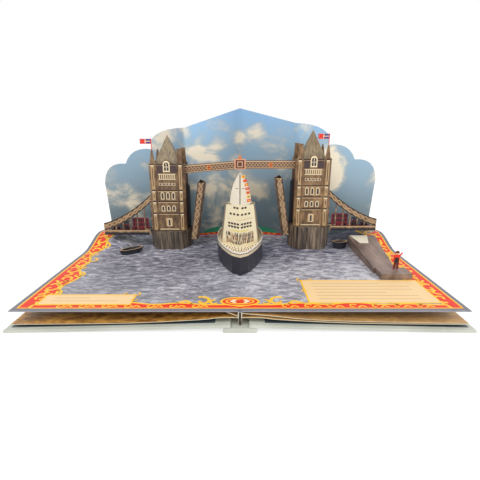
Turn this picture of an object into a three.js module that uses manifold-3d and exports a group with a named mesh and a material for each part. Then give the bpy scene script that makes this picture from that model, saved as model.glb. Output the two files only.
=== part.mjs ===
// An open pop-up book: two hinged covers, a block of pages, and a folded card river scene
// with a two-towered lifting bridge, a ship, boats, a jetty and a painted sky.
// Millimetres. X runs along the spread, Y from the reader's edge into the scene, Z up.
// The origin is on the table, in the middle under the spine.
import * as THREE from 'three';
import { mergeVertices } from 'three/addons/utils/BufferGeometryUtils.js';
import Module from 'manifold-3d';

const wasm = await Module();
wasm.setup();

// Book block
const PAGE_WIDTH = 220;
const PAGE_LENGTH = 288;
const PAGE_TOP = 21.5;
const LEAF = 0.7;
const GUTTER_SLOT = 2.2;
const GUTTER_WALL = 1;
const GUTTER_DIP = 0.8;
const GUTTER_DIP_WIDTH = 4;
const STUB_INSET = 8;
const LOW_LEAF_EDGE = 7.4;
const REST_GAP = 0.3;

// Rise of the top leaf near its far corners: distance from the reader's edge, height
const CURL_START = 168;
const CURL_CREST = 228;
const CURL_HEIGHT = 13.5;
const CURL_END_HEIGHT = 4;
const CURL_INNER_X = 150;
const CURL_FULL_X = 190;

// Case
const SPINE_WIDTH = 33;
const SPINE_THICKNESS = 5;
const SPINE_ROUND = 2;
const COVER_THICKNESS = 3;
const COVER_OVERLAP = 7.5;
const COVER_SQUARE = 6;
const COVER_OVERHANG = 4;
const COVER_ROUND = 0.8;

// Folded card
const CARD = 0.6;

// Sky: plan of the folds, heights over the page
const SKY_CENTRE_Y = 272;
const SKY_FOLD_X = 83;
const SKY_FOLD_Y = 248;
const SKY_END_X = 214;
const SKY_END_Y = 260;
const SKY_CENTRE_HEIGHT = 196.5;
const SKY_FOLD_HEIGHT = 168;

// Bridge
const TOWER_X = 101;
const TOWER_FRONT = 190;
const TOWER_WIDTH = 46;
const TOWER_DEPTH = 36;
const TURRET_INSET = 4.5;
const TURRET_PROUD = 1.5;
const SHAFT_HEIGHT = 94;
const RIGHT_LIFT = 6.5;
const PIER_HEIGHT = 26;
const PIER_WIDTH = 57;
const PIER_NOSE = 36;
const PIER_DEPTH = 52;
const GABLE_HALF = 10;
const GABLE_RISE = 6;
const PINNACLE_HEIGHT = 18;
const PINNACLE_HALF = 3.5;
const STACK_HEIGHT = 20;
const STACK_HALF = 3;
const ROOF_HEIGHT = 49;
const ROOF_SINK = 11;
const FLAG_POLE = 15;
const FLAG_LENGTH = 15;
const FLAG_DEPTH = 6.5;

// Side spans
const SPAN_LENGTH = 73;
const SPAN_SETBACK = 4;
const FASCIA_DROP = 2.3;
const FASCIA_DEPTH = 5.3;
const RAIL = 1.6;
const CHAIN_END_RISE = 12;
const CHAIN_SLOPE = 0.27;
const CHAIN_CURVE = 0.0045;
const CHAIN_BAND = 10.5;
const HANGER = 1.8;
const HANGER_PITCH = 10.6;
const DECK_DEPTH = 24;
const DECK_CARD = 0.8;
const BRACE_WIDTH = 16;
const TRAFFIC_SETBACK = 8;

// High walkway
const WALKWAY_DROP = 14;
const WALKWAY_DEPTH = 10.5;
const WALKWAY_CENTRE_RISE = 3;
const WALKWAY_INSET = 10;
const CREST_WIDTH = 15.6;
const CREST_HEIGHT = 21;

// Raised bridge leaves
const LEAF_FOOT = 12;
const LEAF_LENGTH = 82;
const LEAF_LEAN = 13;
const LEAF_WIDTH = 10;
const LEAF_DEPTH = 40;
const STAY_WIDTH = 5;
const STAY_HEIGHT = 66;

// Ship
const SHIP_BOW_Y = 86;
const SHIP_LENGTH = 114;
const SHIP_BEAM = 62;
const HULL_HEIGHT = 28;
const SHIP_DECK = 22;
const HOUSE_SETBACK = 40;
const HOUSE_LENGTH = 68;
const HOUSE_HEIGHT = 52;
const HOUSE_SHOULDER = 0.88;
const HOUSE_BLUFF = 0.28;
const HOUSE_TAPER = 7;
const HOUSE_RAKE = 6;
const RIGGING_SINK = 10;
const RIGGING_HEIGHT = 40;
const WING_LEFT = 17;
const WING_RIGHT = 19;

// Boats
const ROWBOAT = { x: -151, y: 166, length: 36, beam: 15, height: 7, turn: 0.7 };
const FERRY = { x: 145, y: 188, length: 24, beam: 12, height: 10, turn: 0.15 };

// Jetty
const JETTY_LEFT = 160;
const JETTY_BACK_WIDTH = 40;
const JETTY_FRONT_WIDTH = 25;
const JETTY_BACK_Y = 202;
const JETTY_STEP_Y = 93;
const JETTY_END_Y = 73;
const JETTY_END_WIDTH = 35;
const JETTY_HEIGHT = 7;
const JETTY_BACK_RISE = 8.3;
const TAB_WIDTH = 24;
const TAB_LENGTH = 30;
const FIGURE_HEIGHT = 23;
const FIGURE_X = 184;
const HEAD_RADIUS = 2.6;

// Places worked out from the sizes
const frontEdge = -PAGE_LENGTH / 2;
const along = (distance) => frontEdge + distance;
const ground = PAGE_TOP + REST_GAP;
const coverEnd = PAGE_WIDTH + COVER_SQUARE;
const hingeX = SPINE_WIDTH / 2;
const hingeZ = SPINE_THICKNESS + REST_GAP / 2;
const coverInner = hingeX - COVER_OVERLAP;
const blockHalf = GUTTER_SLOT / 2 + GUTTER_WALL;
const towerHalf = TOWER_WIDTH / 2;
const towerFrontY = along(TOWER_FRONT);
const shaftMiddleY = towerFrontY + TOWER_DEPTH / 2;
const pierFrontY = shaftMiddleY - PIER_DEPTH / 2;

const smooth = (t) => {
  const clamped = Math.min(Math.max(t, 0), 1);
  return clamped * clamped * (3 - 2 * clamped);
};

// Rise of the top leaf at a place on the spread
function curl(x, y) {
  const distance = y - frontEdge;
  const rise = smooth((distance - CURL_START) / (CURL_CREST - CURL_START));
  const fall = smooth((distance - CURL_CREST) / (PAGE_LENGTH - CURL_CREST));
  const height = CURL_HEIGHT * rise - (CURL_HEIGHT - CURL_END_HEIGHT) * fall;
  return height * smooth((Math.abs(x) - CURL_INNER_X) / (CURL_FULL_X - CURL_INNER_X));
}

function pageHeight(x, y) {
  const dip = GUTTER_DIP * Math.max(0, 1 - Math.abs(x) / GUTTER_DIP_WIDTH);
  return PAGE_TOP + curl(x, y) - dip;
}

// Solids are joined and cut as manifolds of merged positions
function solidOf(geometry) {
  const bare = geometry.index ? geometry.clone() : geometry;
  bare.deleteAttribute('normal');
  bare.deleteAttribute('uv');
  const merged = mergeVertices(bare, 1e-4);
  return new wasm.Manifold(new wasm.Mesh({
    numProp: 3,
    vertProperties: new Float32Array(merged.attributes.position.array),
    triVerts: new Uint32Array(merged.index.array),
  }));
}

function geometryOf(solid) {
  const mesh = solid.getMesh();
  const geometry = new THREE.BufferGeometry();
  geometry.setAttribute('position', new THREE.BufferAttribute(mesh.vertProperties, 3));
  geometry.setIndex(new THREE.BufferAttribute(mesh.triVerts, 1));
  return geometry;
}

function join(...geometries) {
  const [first, ...others] = geometries.map(solidOf);
  return geometryOf(others.reduce((whole, next) => whole.add(next), first));
}

function cut(geometry, ...tools) {
  return geometryOf(tools.reduce((whole, tool) => whole.subtract(solidOf(tool)), solidOf(geometry)));
}

function outline(points) {
  return new THREE.Shape(points.map(([x, y]) => new THREE.Vector2(x, y)));
}

// An outline with every corner rounded by its own radius: points are [x, y, radius]
function roundedOutline(points) {
  const shape = new THREE.Shape();
  points.forEach(([x, y, radius], i) => {
    const corner = new THREE.Vector2(x, y);
    const before = new THREE.Vector2(...points.at(i - 1));
    const after = new THREE.Vector2(...points[(i + 1) % points.length]);
    const start = corner.clone().add(before.sub(corner).setLength(radius));
    const end = corner.clone().add(after.sub(corner).setLength(radius));
    if (i === 0) {
      shape.moveTo(start.x, start.y);
    } else {
      shape.lineTo(start.x, start.y);
    }
    shape.quadraticCurveTo(corner.x, corner.y, end.x, end.y);
  });
  shape.closePath();
  return shape;
}

const sheetOptions = (depth) => ({ depth, bevelEnabled: false, curveSegments: 6 });

// A flat sheet lying at height z
function flat(shape, thickness, z) {
  const geometry = new THREE.ExtrudeGeometry(shape, sheetOptions(thickness));
  return geometry.translate(0, 0, z);
}

// A standing sheet: the outline's x runs along the plan direction from (x, y), its y is height
function standing(shape, thickness, x = 0, y = 0, turn = 0) {
  const geometry = new THREE.ExtrudeGeometry(shape, sheetOptions(thickness));
  geometry.translate(0, 0, -thickness / 2);
  geometry.rotateX(Math.PI / 2);
  return geometry.rotateZ(turn).translate(x, y, 0);
}

// A closed solid through a stack of rings of [x, y, z] points, counterclockwise seen from above
function loft(rings) {
  const count = rings[0].length;
  const positions = rings.flat(2);
  const index = [];
  for (let r = 0; r < rings.length - 1; r += 1) {
    for (let k = 0; k < count; k += 1) {
      const a = r * count + k;
      const b = r * count + (k + 1) % count;
      index.push(a, b, b + count, a, b + count, a + count);
    }
  }
  const capPoints = rings[0].map(([x, y]) => new THREE.Vector2(x, y));
  const topPoints = rings.at(-1).map(([x, y]) => new THREE.Vector2(x, y));
  const top = (rings.length - 1) * count;
  THREE.ShapeUtils.triangulateShape(capPoints, []).forEach(([a, b, c]) => {
    index.push(a, c, b);
  });
  THREE.ShapeUtils.triangulateShape(topPoints, []).forEach(([a, b, c]) => {
    index.push(top + a, top + b, top + c);
  });
  const geometry = new THREE.BufferGeometry();
  geometry.setAttribute('position', new THREE.Float32BufferAttribute(positions, 3));
  geometry.setIndex(index);
  return geometry;
}

// A counterclockwise plan outline moved inwards by a distance
function inset(points, distance) {
  return points.map((point, i) => {
    const corner = new THREE.Vector2(...point);
    const before = corner.clone().sub(new THREE.Vector2(...points.at(i - 1))).normalize();
    const after = new THREE.Vector2(...points[(i + 1) % points.length]).sub(corner).normalize();
    const inward = new THREE.Vector2(-before.y - after.y, before.x + after.x).normalize();
    const share = -before.y * inward.x + before.x * inward.y;
    corner.addScaledVector(inward, distance / share);
    return [corner.x, corner.y];
  });
}

const ring = (points, z) => points.map(([x, y]) => [x, y, z]);
const mirror = (points) => points.map(([x, y]) => [-x, y]).reverse();

// A card tube of one outline, open below, and closed by a top when it has one
function box(points, bottom, top, closed) {
  const room = inset(points, CARD);
  const roof = closed ? top - CARD : top + CARD;
  return cut(
    loft([ring(points, bottom), ring(points, top)]),
    loft([ring(room, bottom - CARD), ring(room, roof)]),
  );
}

// A curved sheet over a grid of stations, with its thickness below its height
function gridSheet(xs, ys, heightAt, thickness) {
  const at = (i, j, layer) => (layer * xs.length + i) * ys.length + j;
  const positions = [];
  [0, 1].forEach((layer) => xs.forEach((x) => ys.forEach((y) => {
    positions.push(x, y, heightAt(x, y) - layer * thickness);
  })));
  const index = [];
  const quad = (a, b, c, d) => index.push(a, b, c, a, c, d);
  for (let i = 0; i < xs.length - 1; i += 1) {
    for (let j = 0; j < ys.length - 1; j += 1) {
      quad(at(i, j, 0), at(i + 1, j, 0), at(i + 1, j + 1, 0), at(i, j + 1, 0));
      quad(at(i, j, 1), at(i, j + 1, 1), at(i + 1, j + 1, 1), at(i + 1, j, 1));
    }
  }
  const lastX = xs.length - 1;
  const lastY = ys.length - 1;
  for (let i = 0; i < lastX; i += 1) {
    quad(at(i, 0, 1), at(i + 1, 0, 1), at(i + 1, 0, 0), at(i, 0, 0));
    quad(at(i + 1, lastY, 1), at(i, lastY, 1), at(i, lastY, 0), at(i + 1, lastY, 0));
  }
  for (let j = 0; j < lastY; j += 1) {
    quad(at(lastX, j, 1), at(lastX, j + 1, 1), at(lastX, j + 1, 0), at(lastX, j, 0));
    quad(at(0, j + 1, 1), at(0, j, 1), at(0, j, 0), at(0, j + 1, 0));
  }
  const geometry = new THREE.BufferGeometry();
  geometry.setAttribute('position', new THREE.Float32BufferAttribute(positions, 3));
  geometry.setIndex(index);
  return geometry;
}

const book = new THREE.Group();

function add(name, geometry, color, roughness = 0.7) {
  const material = new THREE.MeshStandardMaterial({ color, roughness, metalness: 0 });
  const mesh = new THREE.Mesh(geometry, material);
  mesh.name = name;
  book.add(mesh);
}

// Stations across the spread and along it, closer together where the top leaf curls
const between = (from, to, steps) => (
  Array.from({ length: steps }, (_, i) => from + ((to - from) * i) / steps)
);
const halfStations = [
  GUTTER_DIP_WIDTH, ...between(CURL_INNER_X, CURL_FULL_X, 5), CURL_FULL_X, PAGE_WIDTH,
];
const xStations = [...halfStations.map((x) => -x).reverse(), 0, ...halfStations];
const yStations = [
  frontEdge,
  ...between(along(CURL_START), along(CURL_CREST), 5),
  ...between(along(CURL_CREST), along(PAGE_LENGTH), 4),
  along(PAGE_LENGTH),
];

// Everything up to a rest gap over the top leaf, which trims what stands on the page
const pageRoom = gridSheet(xStations, yStations, (x, y) => pageHeight(x, y) + REST_GAP, PAGE_TOP);
const footing = PAGE_TOP - LEAF;

// Case: spine board and two covers that slope from it down to the table
const spine = roundedOutline([
  [-hingeX, 0, SPINE_ROUND],
  [hingeX, 0, SPINE_ROUND],
  [hingeX, SPINE_THICKNESS, REST_GAP],
  [-hingeX, SPINE_THICKNESS, REST_GAP],
]);
const caseLength = PAGE_LENGTH + 2 * COVER_OVERHANG;
add('spine_board', standing(spine, caseLength), '#dfe2dc');

const coverSeat = SPINE_THICKNESS + REST_GAP;
const coverSlope = coverSeat / (coverEnd - hingeX);
const coverUnder = (x) => coverSlope * (coverEnd - x);

function coverOutline(side) {
  return roundedOutline([
    [side * coverInner, coverUnder(coverInner), COVER_ROUND],
    [side * coverEnd, 0, COVER_ROUND],
    [side * coverEnd, COVER_THICKNESS, COVER_ROUND],
    [side * coverInner, coverUnder(coverInner) + COVER_THICKNESS, COVER_ROUND],
  ]);
}
add('left_cover', standing(coverOutline(-1), caseLength), '#e6e8e2');
add('right_cover', standing(coverOutline(1), caseLength), '#e6e8e2');

// Pages: the top leaf, the leaves under it and the gutter folds are one block.
// The lowest leaf stays over the way that a cover's inner end swings through.
const swingTop = hingeZ + Math.hypot(COVER_OVERLAP, COVER_THICKNESS + coverSeat - hingeZ) + 2 * REST_GAP;
const swingEnd = hingeX + COVER_THICKNESS + 2 * REST_GAP;

function leaf(side, points) {
  const curve = new THREE.SplineCurve(points.map(([x, z]) => new THREE.Vector2(x, z)));
  const middle = curve.getPoints(4 * (points.length - 1));
  const upper = middle.map(({ x, y }) => [side * x, y + LEAF / 2]);
  const lower = middle.map(({ x, y }) => [side * x, y - LEAF / 2]).reverse();
  return standing(outline([...upper, ...lower]), PAGE_LENGTH);
}

const lowLeafStart = swingTop + LEAF / 2;
const lowLeaf = [
  [GUTTER_SLOT / 2, lowLeafStart],
  [swingEnd, lowLeafStart],
  [2 * swingEnd, lowLeafStart - 2.2],
  [PAGE_WIDTH * 0.5, LOW_LEAF_EDGE + 1],
  [PAGE_WIDTH, LOW_LEAF_EDGE - LEAF / 2],
];
const middleLeaf = [
  [GUTTER_SLOT / 2, PAGE_TOP - 2.6],
  [1.5 * swingEnd, PAGE_TOP - 5.4],
  [PAGE_WIDTH * 0.4, LOW_LEAF_EDGE + 3.6],
  [PAGE_WIDTH - LEAF, LOW_LEAF_EDGE + LEAF],
];
const shortPly = [
  [GUTTER_SLOT / 2, PAGE_TOP - 6],
  [5, PAGE_TOP - 4.4],
  [14, PAGE_TOP - LEAF],
];

function gutterWall(side) {
  const inner = side * GUTTER_SLOT / 2;
  const outer = side * blockHalf;
  const top = PAGE_TOP - LEAF;
  const wall = (bottom) => outline([[inner, bottom], [outer, bottom], [outer, top], [inner, top]]);
  return [
    standing(wall(lowLeafStart), PAGE_LENGTH),
    standing(wall(coverSeat), PAGE_LENGTH - 2 * STUB_INSET),
  ];
}

add('pages', join(
  gridSheet(xStations, yStations, pageHeight, LEAF + GUTTER_DIP / 2),
  leaf(-1, lowLeaf),
  leaf(-1, shortPly),
  leaf(1, lowLeaf),
  leaf(1, middleLeaf),
  ...gutterWall(-1),
  ...gutterWall(1),
), '#8b8a99');

// Sky: one sheet with a centre fold at the back and a fold in front on each side
const skyCentre = [0, along(SKY_CENTRE_Y)];

function skyLift(side) {
  return side > 0 ? RIGHT_LIFT : 0;
}

function skyInner(side) {
  const dx = SKY_FOLD_X;
  const dy = SKY_CENTRE_Y - SKY_FOLD_Y;
  const width = Math.hypot(dx, dy);
  const shape = outline([
    [0, footing],
    [side * width, footing],
    [side * width, ground + SKY_FOLD_HEIGHT + skyLift(side)],
    [0, ground + SKY_CENTRE_HEIGHT],
  ]);
  return standing(shape, CARD, ...skyCentre, -side * Math.atan2(dy, dx));
}

function skyOuter(side) {
  const dx = SKY_END_X - SKY_FOLD_X;
  const dy = SKY_END_Y - SKY_FOLD_Y;
  const width = Math.hypot(dx, dy);
  const top = ground + SKY_FOLD_HEIGHT + skyLift(side);
  const lobes = new THREE.Shape();
  lobes.moveTo(0, footing);
  lobes.lineTo(0, top);
  lobes.quadraticCurveTo(side * 0.31 * width, top - 1, side * 0.4 * width, top - 19);
  lobes.lineTo(side * 0.395 * width, top - 31);
  lobes.quadraticCurveTo(side * 0.64 * width, top - 27, side * 0.72 * width, top - 53);
  lobes.quadraticCurveTo(side * 0.97 * width, top - 50, side * width, top - 83);
  lobes.lineTo(side * 0.97 * width, top - 147);
  lobes.lineTo(side * 0.97 * width, footing);
  return standing(lobes, CARD, side * SKY_FOLD_X, along(SKY_FOLD_Y), side * Math.atan2(dy, dx));
}

add('sky_backdrop', cut(
  join(skyInner(-1), skyInner(1), skyOuter(-1), skyOuter(1)),
  pageRoom,
), '#8db4dc');

// Towers
function towerPlan(width, depth, corner) {
  const reach = corner + TURRET_PROUD;
  const facet = reach * Math.tan(Math.PI / 8);
  const half = width / 2;
  const middle = depth / 2;
  const frontCorner = [
    [-half, corner + facet + TURRET_PROUD],
    [-half - TURRET_PROUD, corner + facet],
    [-half - TURRET_PROUD, corner - facet],
    [corner - half - facet, -TURRET_PROUD],
    [corner - half + facet, -TURRET_PROUD],
    [corner - half + facet + TURRET_PROUD, 0],
  ].map(([x, y]) => [x, y - middle]);
  const front = [...frontCorner, ...mirror(frontCorner)];
  return [...front, ...front.map(([x, y]) => [-x, -y])];
}

const shaftPlan = towerPlan(TOWER_WIDTH, TOWER_DEPTH, TURRET_INSET);
const shaftRoom = towerPlan(TOWER_WIDTH - 2 * CARD, TOWER_DEPTH - 2 * CARD, TURRET_INSET - CARD);
const turretReach = TURRET_INSET + TURRET_PROUD;

// The head of a tower's face: gable between a pointed and a flat-topped turret
function towerHead(side) {
  const outerTurret = side * (towerHalf - TURRET_INSET);
  const top = SHAFT_HEIGHT;
  const low = top - 2 * CARD;
  const pinnacle = outline([
    [outerTurret - turretReach, low],
    [outerTurret + turretReach, low],
    [outerTurret + turretReach, top],
    [outerTurret + PINNACLE_HALF, top + 2],
    [outerTurret + 1, top + PINNACLE_HEIGHT],
    [outerTurret - 1, top + PINNACLE_HEIGHT],
    [outerTurret - PINNACLE_HALF, top + 2],
    [outerTurret - turretReach, top],
  ]);
  const stack = outline([
    [-outerTurret - turretReach, low],
    [-outerTurret + turretReach, low],
    [-outerTurret + STACK_HALF + 1, top + 1],
    [-outerTurret + STACK_HALF, top + STACK_HEIGHT - 3],
    [-outerTurret + STACK_HALF + 0.5, top + STACK_HEIGHT],
    [-outerTurret - STACK_HALF - 0.5, top + STACK_HEIGHT],
    [-outerTurret - STACK_HALF, top + STACK_HEIGHT - 3],
    [-outerTurret - STACK_HALF - 1, top + 1],
  ]);
  const gable = outline([
    [-GABLE_HALF, low],
    [GABLE_HALF, low],
    [GABLE_HALF, top],
    [0, top + GABLE_RISE],
    [-GABLE_HALF, top],
  ]);
  return [pinnacle, stack, gable];
}

const pierHeightOf = (side) => PIER_HEIGHT + (side > 0 ? RIGHT_LIFT : 0);
const shaftBaseOf = (side) => ground + pierHeightOf(side) + REST_GAP;

const pierPlan = [
  [-PIER_NOSE / 2, -PIER_DEPTH / 2],
  [PIER_NOSE / 2, -PIER_DEPTH / 2],
  [PIER_WIDTH / 2, -PIER_DEPTH / 6],
  [PIER_WIDTH / 2, PIER_DEPTH / 6],
  [PIER_NOSE / 2, PIER_DEPTH / 2],
  [-PIER_NOSE / 2, PIER_DEPTH / 2],
  [-PIER_WIDTH / 2, PIER_DEPTH / 6],
  [-PIER_WIDTH / 2, -PIER_DEPTH / 6],
];

function tower(side) {
  const tube = cut(
    loft([ring(shaftPlan, 0), ring(shaftPlan, SHAFT_HEIGHT)]),
    loft([ring(shaftRoom, -CARD), ring(shaftRoom, SHAFT_HEIGHT + CARD)]),
  );
  const face = (TOWER_DEPTH - CARD) / 2;
  const heads = [-face, face].flatMap((y) => towerHead(side).map((shape) => standing(shape, CARD, 0, y)));
  return join(tube, ...heads).translate(side * TOWER_X, shaftMiddleY, shaftBaseOf(side));
}

// A steep four-sided roof of folded card that wedges inside the shaft's walls
function roof(side) {
  const half = towerHalf - CARD - REST_GAP;
  const deep = TOWER_DEPTH / 2 - CARD - REST_GAP;
  const base = [[-half, -deep], [half, -deep], [half, deep], [-half, deep]];
  const tip = (z, size) => ring(base.map(([x, y]) => [x * size, y * size]), z);
  const wall = 0.98;
  const fine = 0.004;
  const outside = loft([tip(0, 1), tip(ROOF_HEIGHT, fine)]);
  const inside = loft([tip(-CARD, wall), tip(ROOF_HEIGHT * 0.95, fine / 2)]);
  const seat = shaftBaseOf(side) + SHAFT_HEIGHT - ROOF_SINK;
  return cut(outside, inside).translate(side * TOWER_X, shaftMiddleY, seat);
}

// A round pole with a waving flag, both on the tip of a turret
function flag(side) {
  const foot = shaftBaseOf(side) + SHAFT_HEIGHT + PINNACLE_HEIGHT + REST_GAP;
  const poleX = side * (TOWER_X + towerHalf - TURRET_INSET);
  const poleY = towerFrontY + CARD / 2;
  const pole = new THREE.CylinderGeometry(0.5, 0.5, FLAG_POLE, 8).rotateX(Math.PI / 2);
  pole.translate(0, 0, FLAG_POLE / 2);
  const wave = (x) => Math.sin((x / FLAG_LENGTH) * 2 * Math.PI) * 0.8;
  const steps = between(0, FLAG_LENGTH, 6).concat(FLAG_LENGTH);
  const cloth = outline([
    ...steps.map((x) => [-x, wave(x) - CARD / 2]),
    ...steps.map((x) => [-x, wave(x) + CARD / 2]).reverse(),
  ]);
  const sheet = flat(cloth, FLAG_DEPTH, FLAG_POLE - FLAG_DEPTH - 0.5);
  return join(pole, sheet).translate(poleX, poleY, foot);
}

// Side spans: chains, hangers and parapet cut from one sheet, drawn outwards from the pier
const spanInner = TOWER_X + PIER_WIDTH / 2 + REST_GAP;
const spanEnd = TOWER_X + towerHalf + SPAN_LENGTH;
const spanY = shaftMiddleY - TOWER_DEPTH / 2 + SPAN_SETBACK;
const deckTopOf = (side) => ground + pierHeightOf(side) - FASCIA_DROP;

function chainTop(side, x) {
  const distance = spanEnd - x;
  return deckTopOf(side) + CHAIN_END_RISE + distance * (CHAIN_SLOPE + distance * CHAIN_CURVE);
}

function span(side) {
  const deckTop = deckTopOf(side);
  const pierTop = shaftBaseOf(side);
  const wallX = TOWER_X + towerHalf + TURRET_PROUD + REST_GAP;
  const chain = between(spanEnd, wallX, 10).concat(wallX);
  const sheet = outline([
    [side * spanInner, deckTop - FASCIA_DEPTH],
    [side * spanEnd, deckTop - FASCIA_DEPTH],
    ...chain.map((x) => [side * x, chainTop(side, x)]),
    [side * wallX, pierTop],
    [side * spanInner, pierTop],
  ]);
  const windows = [];
  const hangers = Math.floor((spanEnd - wallX) / HANGER_PITCH);
  for (let i = 0; i < hangers; i += 1) {
    const from = wallX + HANGER + i * HANGER_PITCH;
    const to = from + HANGER_PITCH - HANGER;
    const sill = Math.max(deckTop + RAIL, i === 0 ? pierTop + RAIL : 0);
    const lowChord = (x) => chainTop(side, x) - CHAIN_BAND;
    if (lowChord(to) > sill + HANGER) {
      const steps = [from, (from + to) / 2, to];
      const window = outline([
        [side * from, sill],
        ...steps.map((x) => [side * x, lowChord(x)]),
        [side * to, sill],
      ]);
      windows.push(standing(window, 2 * CARD, 0, spanY));
    }
  }
  return cut(standing(sheet, CARD, 0, spanY), ...windows);
}

// The roadway behind the span, with a tongue that is glued back to the sky
function deck(side) {
  const front = spanY + CARD / 2 + REST_GAP;
  const back = front + DECK_DEPTH;
  const skySlope = (SKY_END_Y - SKY_FOLD_Y) / (SKY_END_X - SKY_FOLD_X);
  const skyAt = (x) => along(SKY_FOLD_Y) + (x - SKY_FOLD_X) * skySlope - CARD - REST_GAP;
  const braceInner = spanEnd - BRACE_WIDTH;
  const plan = outline([
    [side * spanInner, front],
    [side * spanEnd, front],
    [side * spanEnd, skyAt(spanEnd)],
    [side * braceInner, skyAt(braceInner)],
    [side * braceInner, back],
    [side * spanInner, back],
  ]);
  return flat(plan, DECK_CARD, deckTopOf(side) - DECK_CARD);
}

// Traffic: a bus, a van and a car cut from one strip along the road
function traffic(side) {
  const road = deckTopOf(side) + REST_GAP;
  const start = spanInner + 2;
  const at = (x, z) => [side * (start + x), road + z];
  const strip = outline([
    at(0, 0), at(58, 0), at(58, 1.5), at(55, 1.5), at(54, 4), at(51, 5.5), at(46, 5.5), at(45, 1.5),
    at(41, 1.5), at(41, 7), at(39, 8), at(32, 8), at(31, 1.5),
    at(26, 1.5), at(26, 16.5), at(25, 18), at(3, 18), at(2, 16.5), at(2, 1.5), at(0, 1.5),
  ]);
  return standing(strip, CARD, 0, spanY + TRAFFIC_SETBACK);
}

// Raised leaves: a tapering card box that leans in from the pier
function bridgeLeaf(side) {
  const outer = TOWER_X - PIER_WIDTH / 2 - REST_GAP;
  const frontY = towerFrontY + 3;
  const foot = [
    [outer, frontY],
    [outer, frontY + LEAF_DEPTH],
    [outer - LEAF_WIDTH - 1.5, frontY + LEAF_DEPTH / 6],
    [outer - LEAF_WIDTH, frontY],
  ];
  const place = (points, shift) => {
    const moved = points.map(([x, y]) => [x - shift, y]);
    return side > 0 ? moved : mirror(moved);
  };
  const bottom = ground + LEAF_FOOT + skyLift(side);
  const top = bottom + LEAF_LENGTH;
  const rise = LEAF_LEAN / LEAF_LENGTH;
  const wall = side > 0 ? foot : mirror(foot);
  const room = side > 0 ? inset(wall, CARD) : mirror(inset(wall, CARD));
  const outside = loft([ring(place(foot, 0), bottom), ring(place(foot, LEAF_LEAN), top)]);
  const inside = loft([
    ring(place(room, -CARD * rise), bottom - CARD),
    ring(place(room, LEAF_LEAN + CARD * rise), top + CARD),
  ]);
  return cut(outside, inside);
}

// A dark stay on the tower's inner wall, behind the raised leaf
function leafStay(side) {
  const wallX = TOWER_X - towerHalf - REST_GAP;
  const bottom = shaftBaseOf(side);
  const shape = outline([
    [side * wallX, bottom],
    [side * (wallX - STAY_WIDTH), bottom],
    [side * (wallX - STAY_WIDTH), bottom + STAY_HEIGHT - STAY_WIDTH],
    [side * wallX, bottom + STAY_HEIGHT],
  ]);
  return standing(shape, CARD, 0, shaftMiddleY + 4);
}

for (const [label, side] of [['left', -1], ['right', 1]]) {
  const pier = box(pierPlan, footing - ground, pierHeightOf(side), true);
  add(`${label}_pier`, cut(pier.translate(side * TOWER_X, shaftMiddleY, ground), pageRoom), '#7d7267');
  add(`${label}_tower`, tower(side), '#b08d62');
  add(`${label}_roof`, roof(side), '#85786a');
  add(`${label}_flag`, flag(side), '#b7384a');
  add(`${label}_span`, span(side), '#8f6f55');
  add(`${label}_deck`, deck(side), '#3a3a3a');
  add(`${label}_traffic`, traffic(side), '#a3242c');
  add(`${label}_bridge_leaf`, bridgeLeaf(side), '#8c6a4c');
  add(`${label}_leaf_stay`, leafStay(side), '#23252b');
}

// High walkway: a folded channel between the towers, with a kink at its middle
const walkEnd = TOWER_X - towerHalf - REST_GAP;
const walkLevel = (side) => shaftBaseOf(side) + SHAFT_HEIGHT - WALKWAY_DROP;
const walkMiddle = (walkLevel(-1) + walkLevel(1)) / 2 + WALKWAY_CENTRE_RISE;
const walkLine = [[-walkEnd, walkLevel(-1)], [0, walkMiddle], [walkEnd, walkLevel(1)]];
const walkBand = (bottom, top) => outline([
  ...walkLine.map(([x, z]) => [x, z + bottom]),
  ...walkLine.map(([x, z]) => [x, z + top]).reverse(),
]);
const walkFrontY = towerFrontY + WALKWAY_INSET;
const walkBackY = towerFrontY + TOWER_DEPTH - WALKWAY_INSET;
add('walkway', join(
  standing(walkBand(0, WALKWAY_DEPTH), CARD, 0, walkFrontY),
  standing(walkBand(0, WALKWAY_DEPTH), CARD, 0, walkBackY),
  standing(walkBand(WALKWAY_DEPTH - CARD, WALKWAY_DEPTH), walkBackY - walkFrontY + CARD, 0, shaftMiddleY),
), '#8a5f52');

const crestFoot = walkMiddle - 0.5;
const crestHalf = CREST_WIDTH / 2;
const crestTop = crestFoot + CREST_HEIGHT;
add('crest', standing(outline([
  [-crestHalf, crestFoot],
  [crestHalf, crestFoot],
  [crestHalf, crestTop - 7],
  [crestHalf / 3, crestTop - 7],
  [0, crestTop],
  [-crestHalf / 3, crestTop - 7],
  [-crestHalf, crestTop - 7],
]), CARD, 0, walkFrontY - CARD - REST_GAP), '#6b2730');

// Ship: hull, deck, deck house and rigging
const bowY = along(SHIP_BOW_Y);
const halfHull = [
  [0.3, 0.06], [0.47, 0.14], [0.7, 0.28], [0.88, 0.44], [0.98, 0.62], [1, 0.8], [0.9, 1],
].map(([breadth, length]) => [(breadth * SHIP_BEAM) / 2, bowY + length * SHIP_LENGTH]);
const hullPlan = [[0, bowY], ...halfHull, ...mirror(halfHull)];
const hullTop = ground + HULL_HEIGHT;
const hullRoom = inset(hullPlan, CARD);
add('ship_hull', cut(
  loft([ring(hullPlan, footing), ring(hullPlan, hullTop)]),
  loft([ring(hullRoom, footing - CARD), ring(hullRoom, hullTop + CARD)]),
  pageRoom,
), '#1b1b1f');

const shipDeckTop = ground + SHIP_DECK;
add('ship_deck', flat(outline(inset(hullPlan, CARD + REST_GAP)), CARD, shipDeckTop - CARD), '#cdb892');

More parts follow.
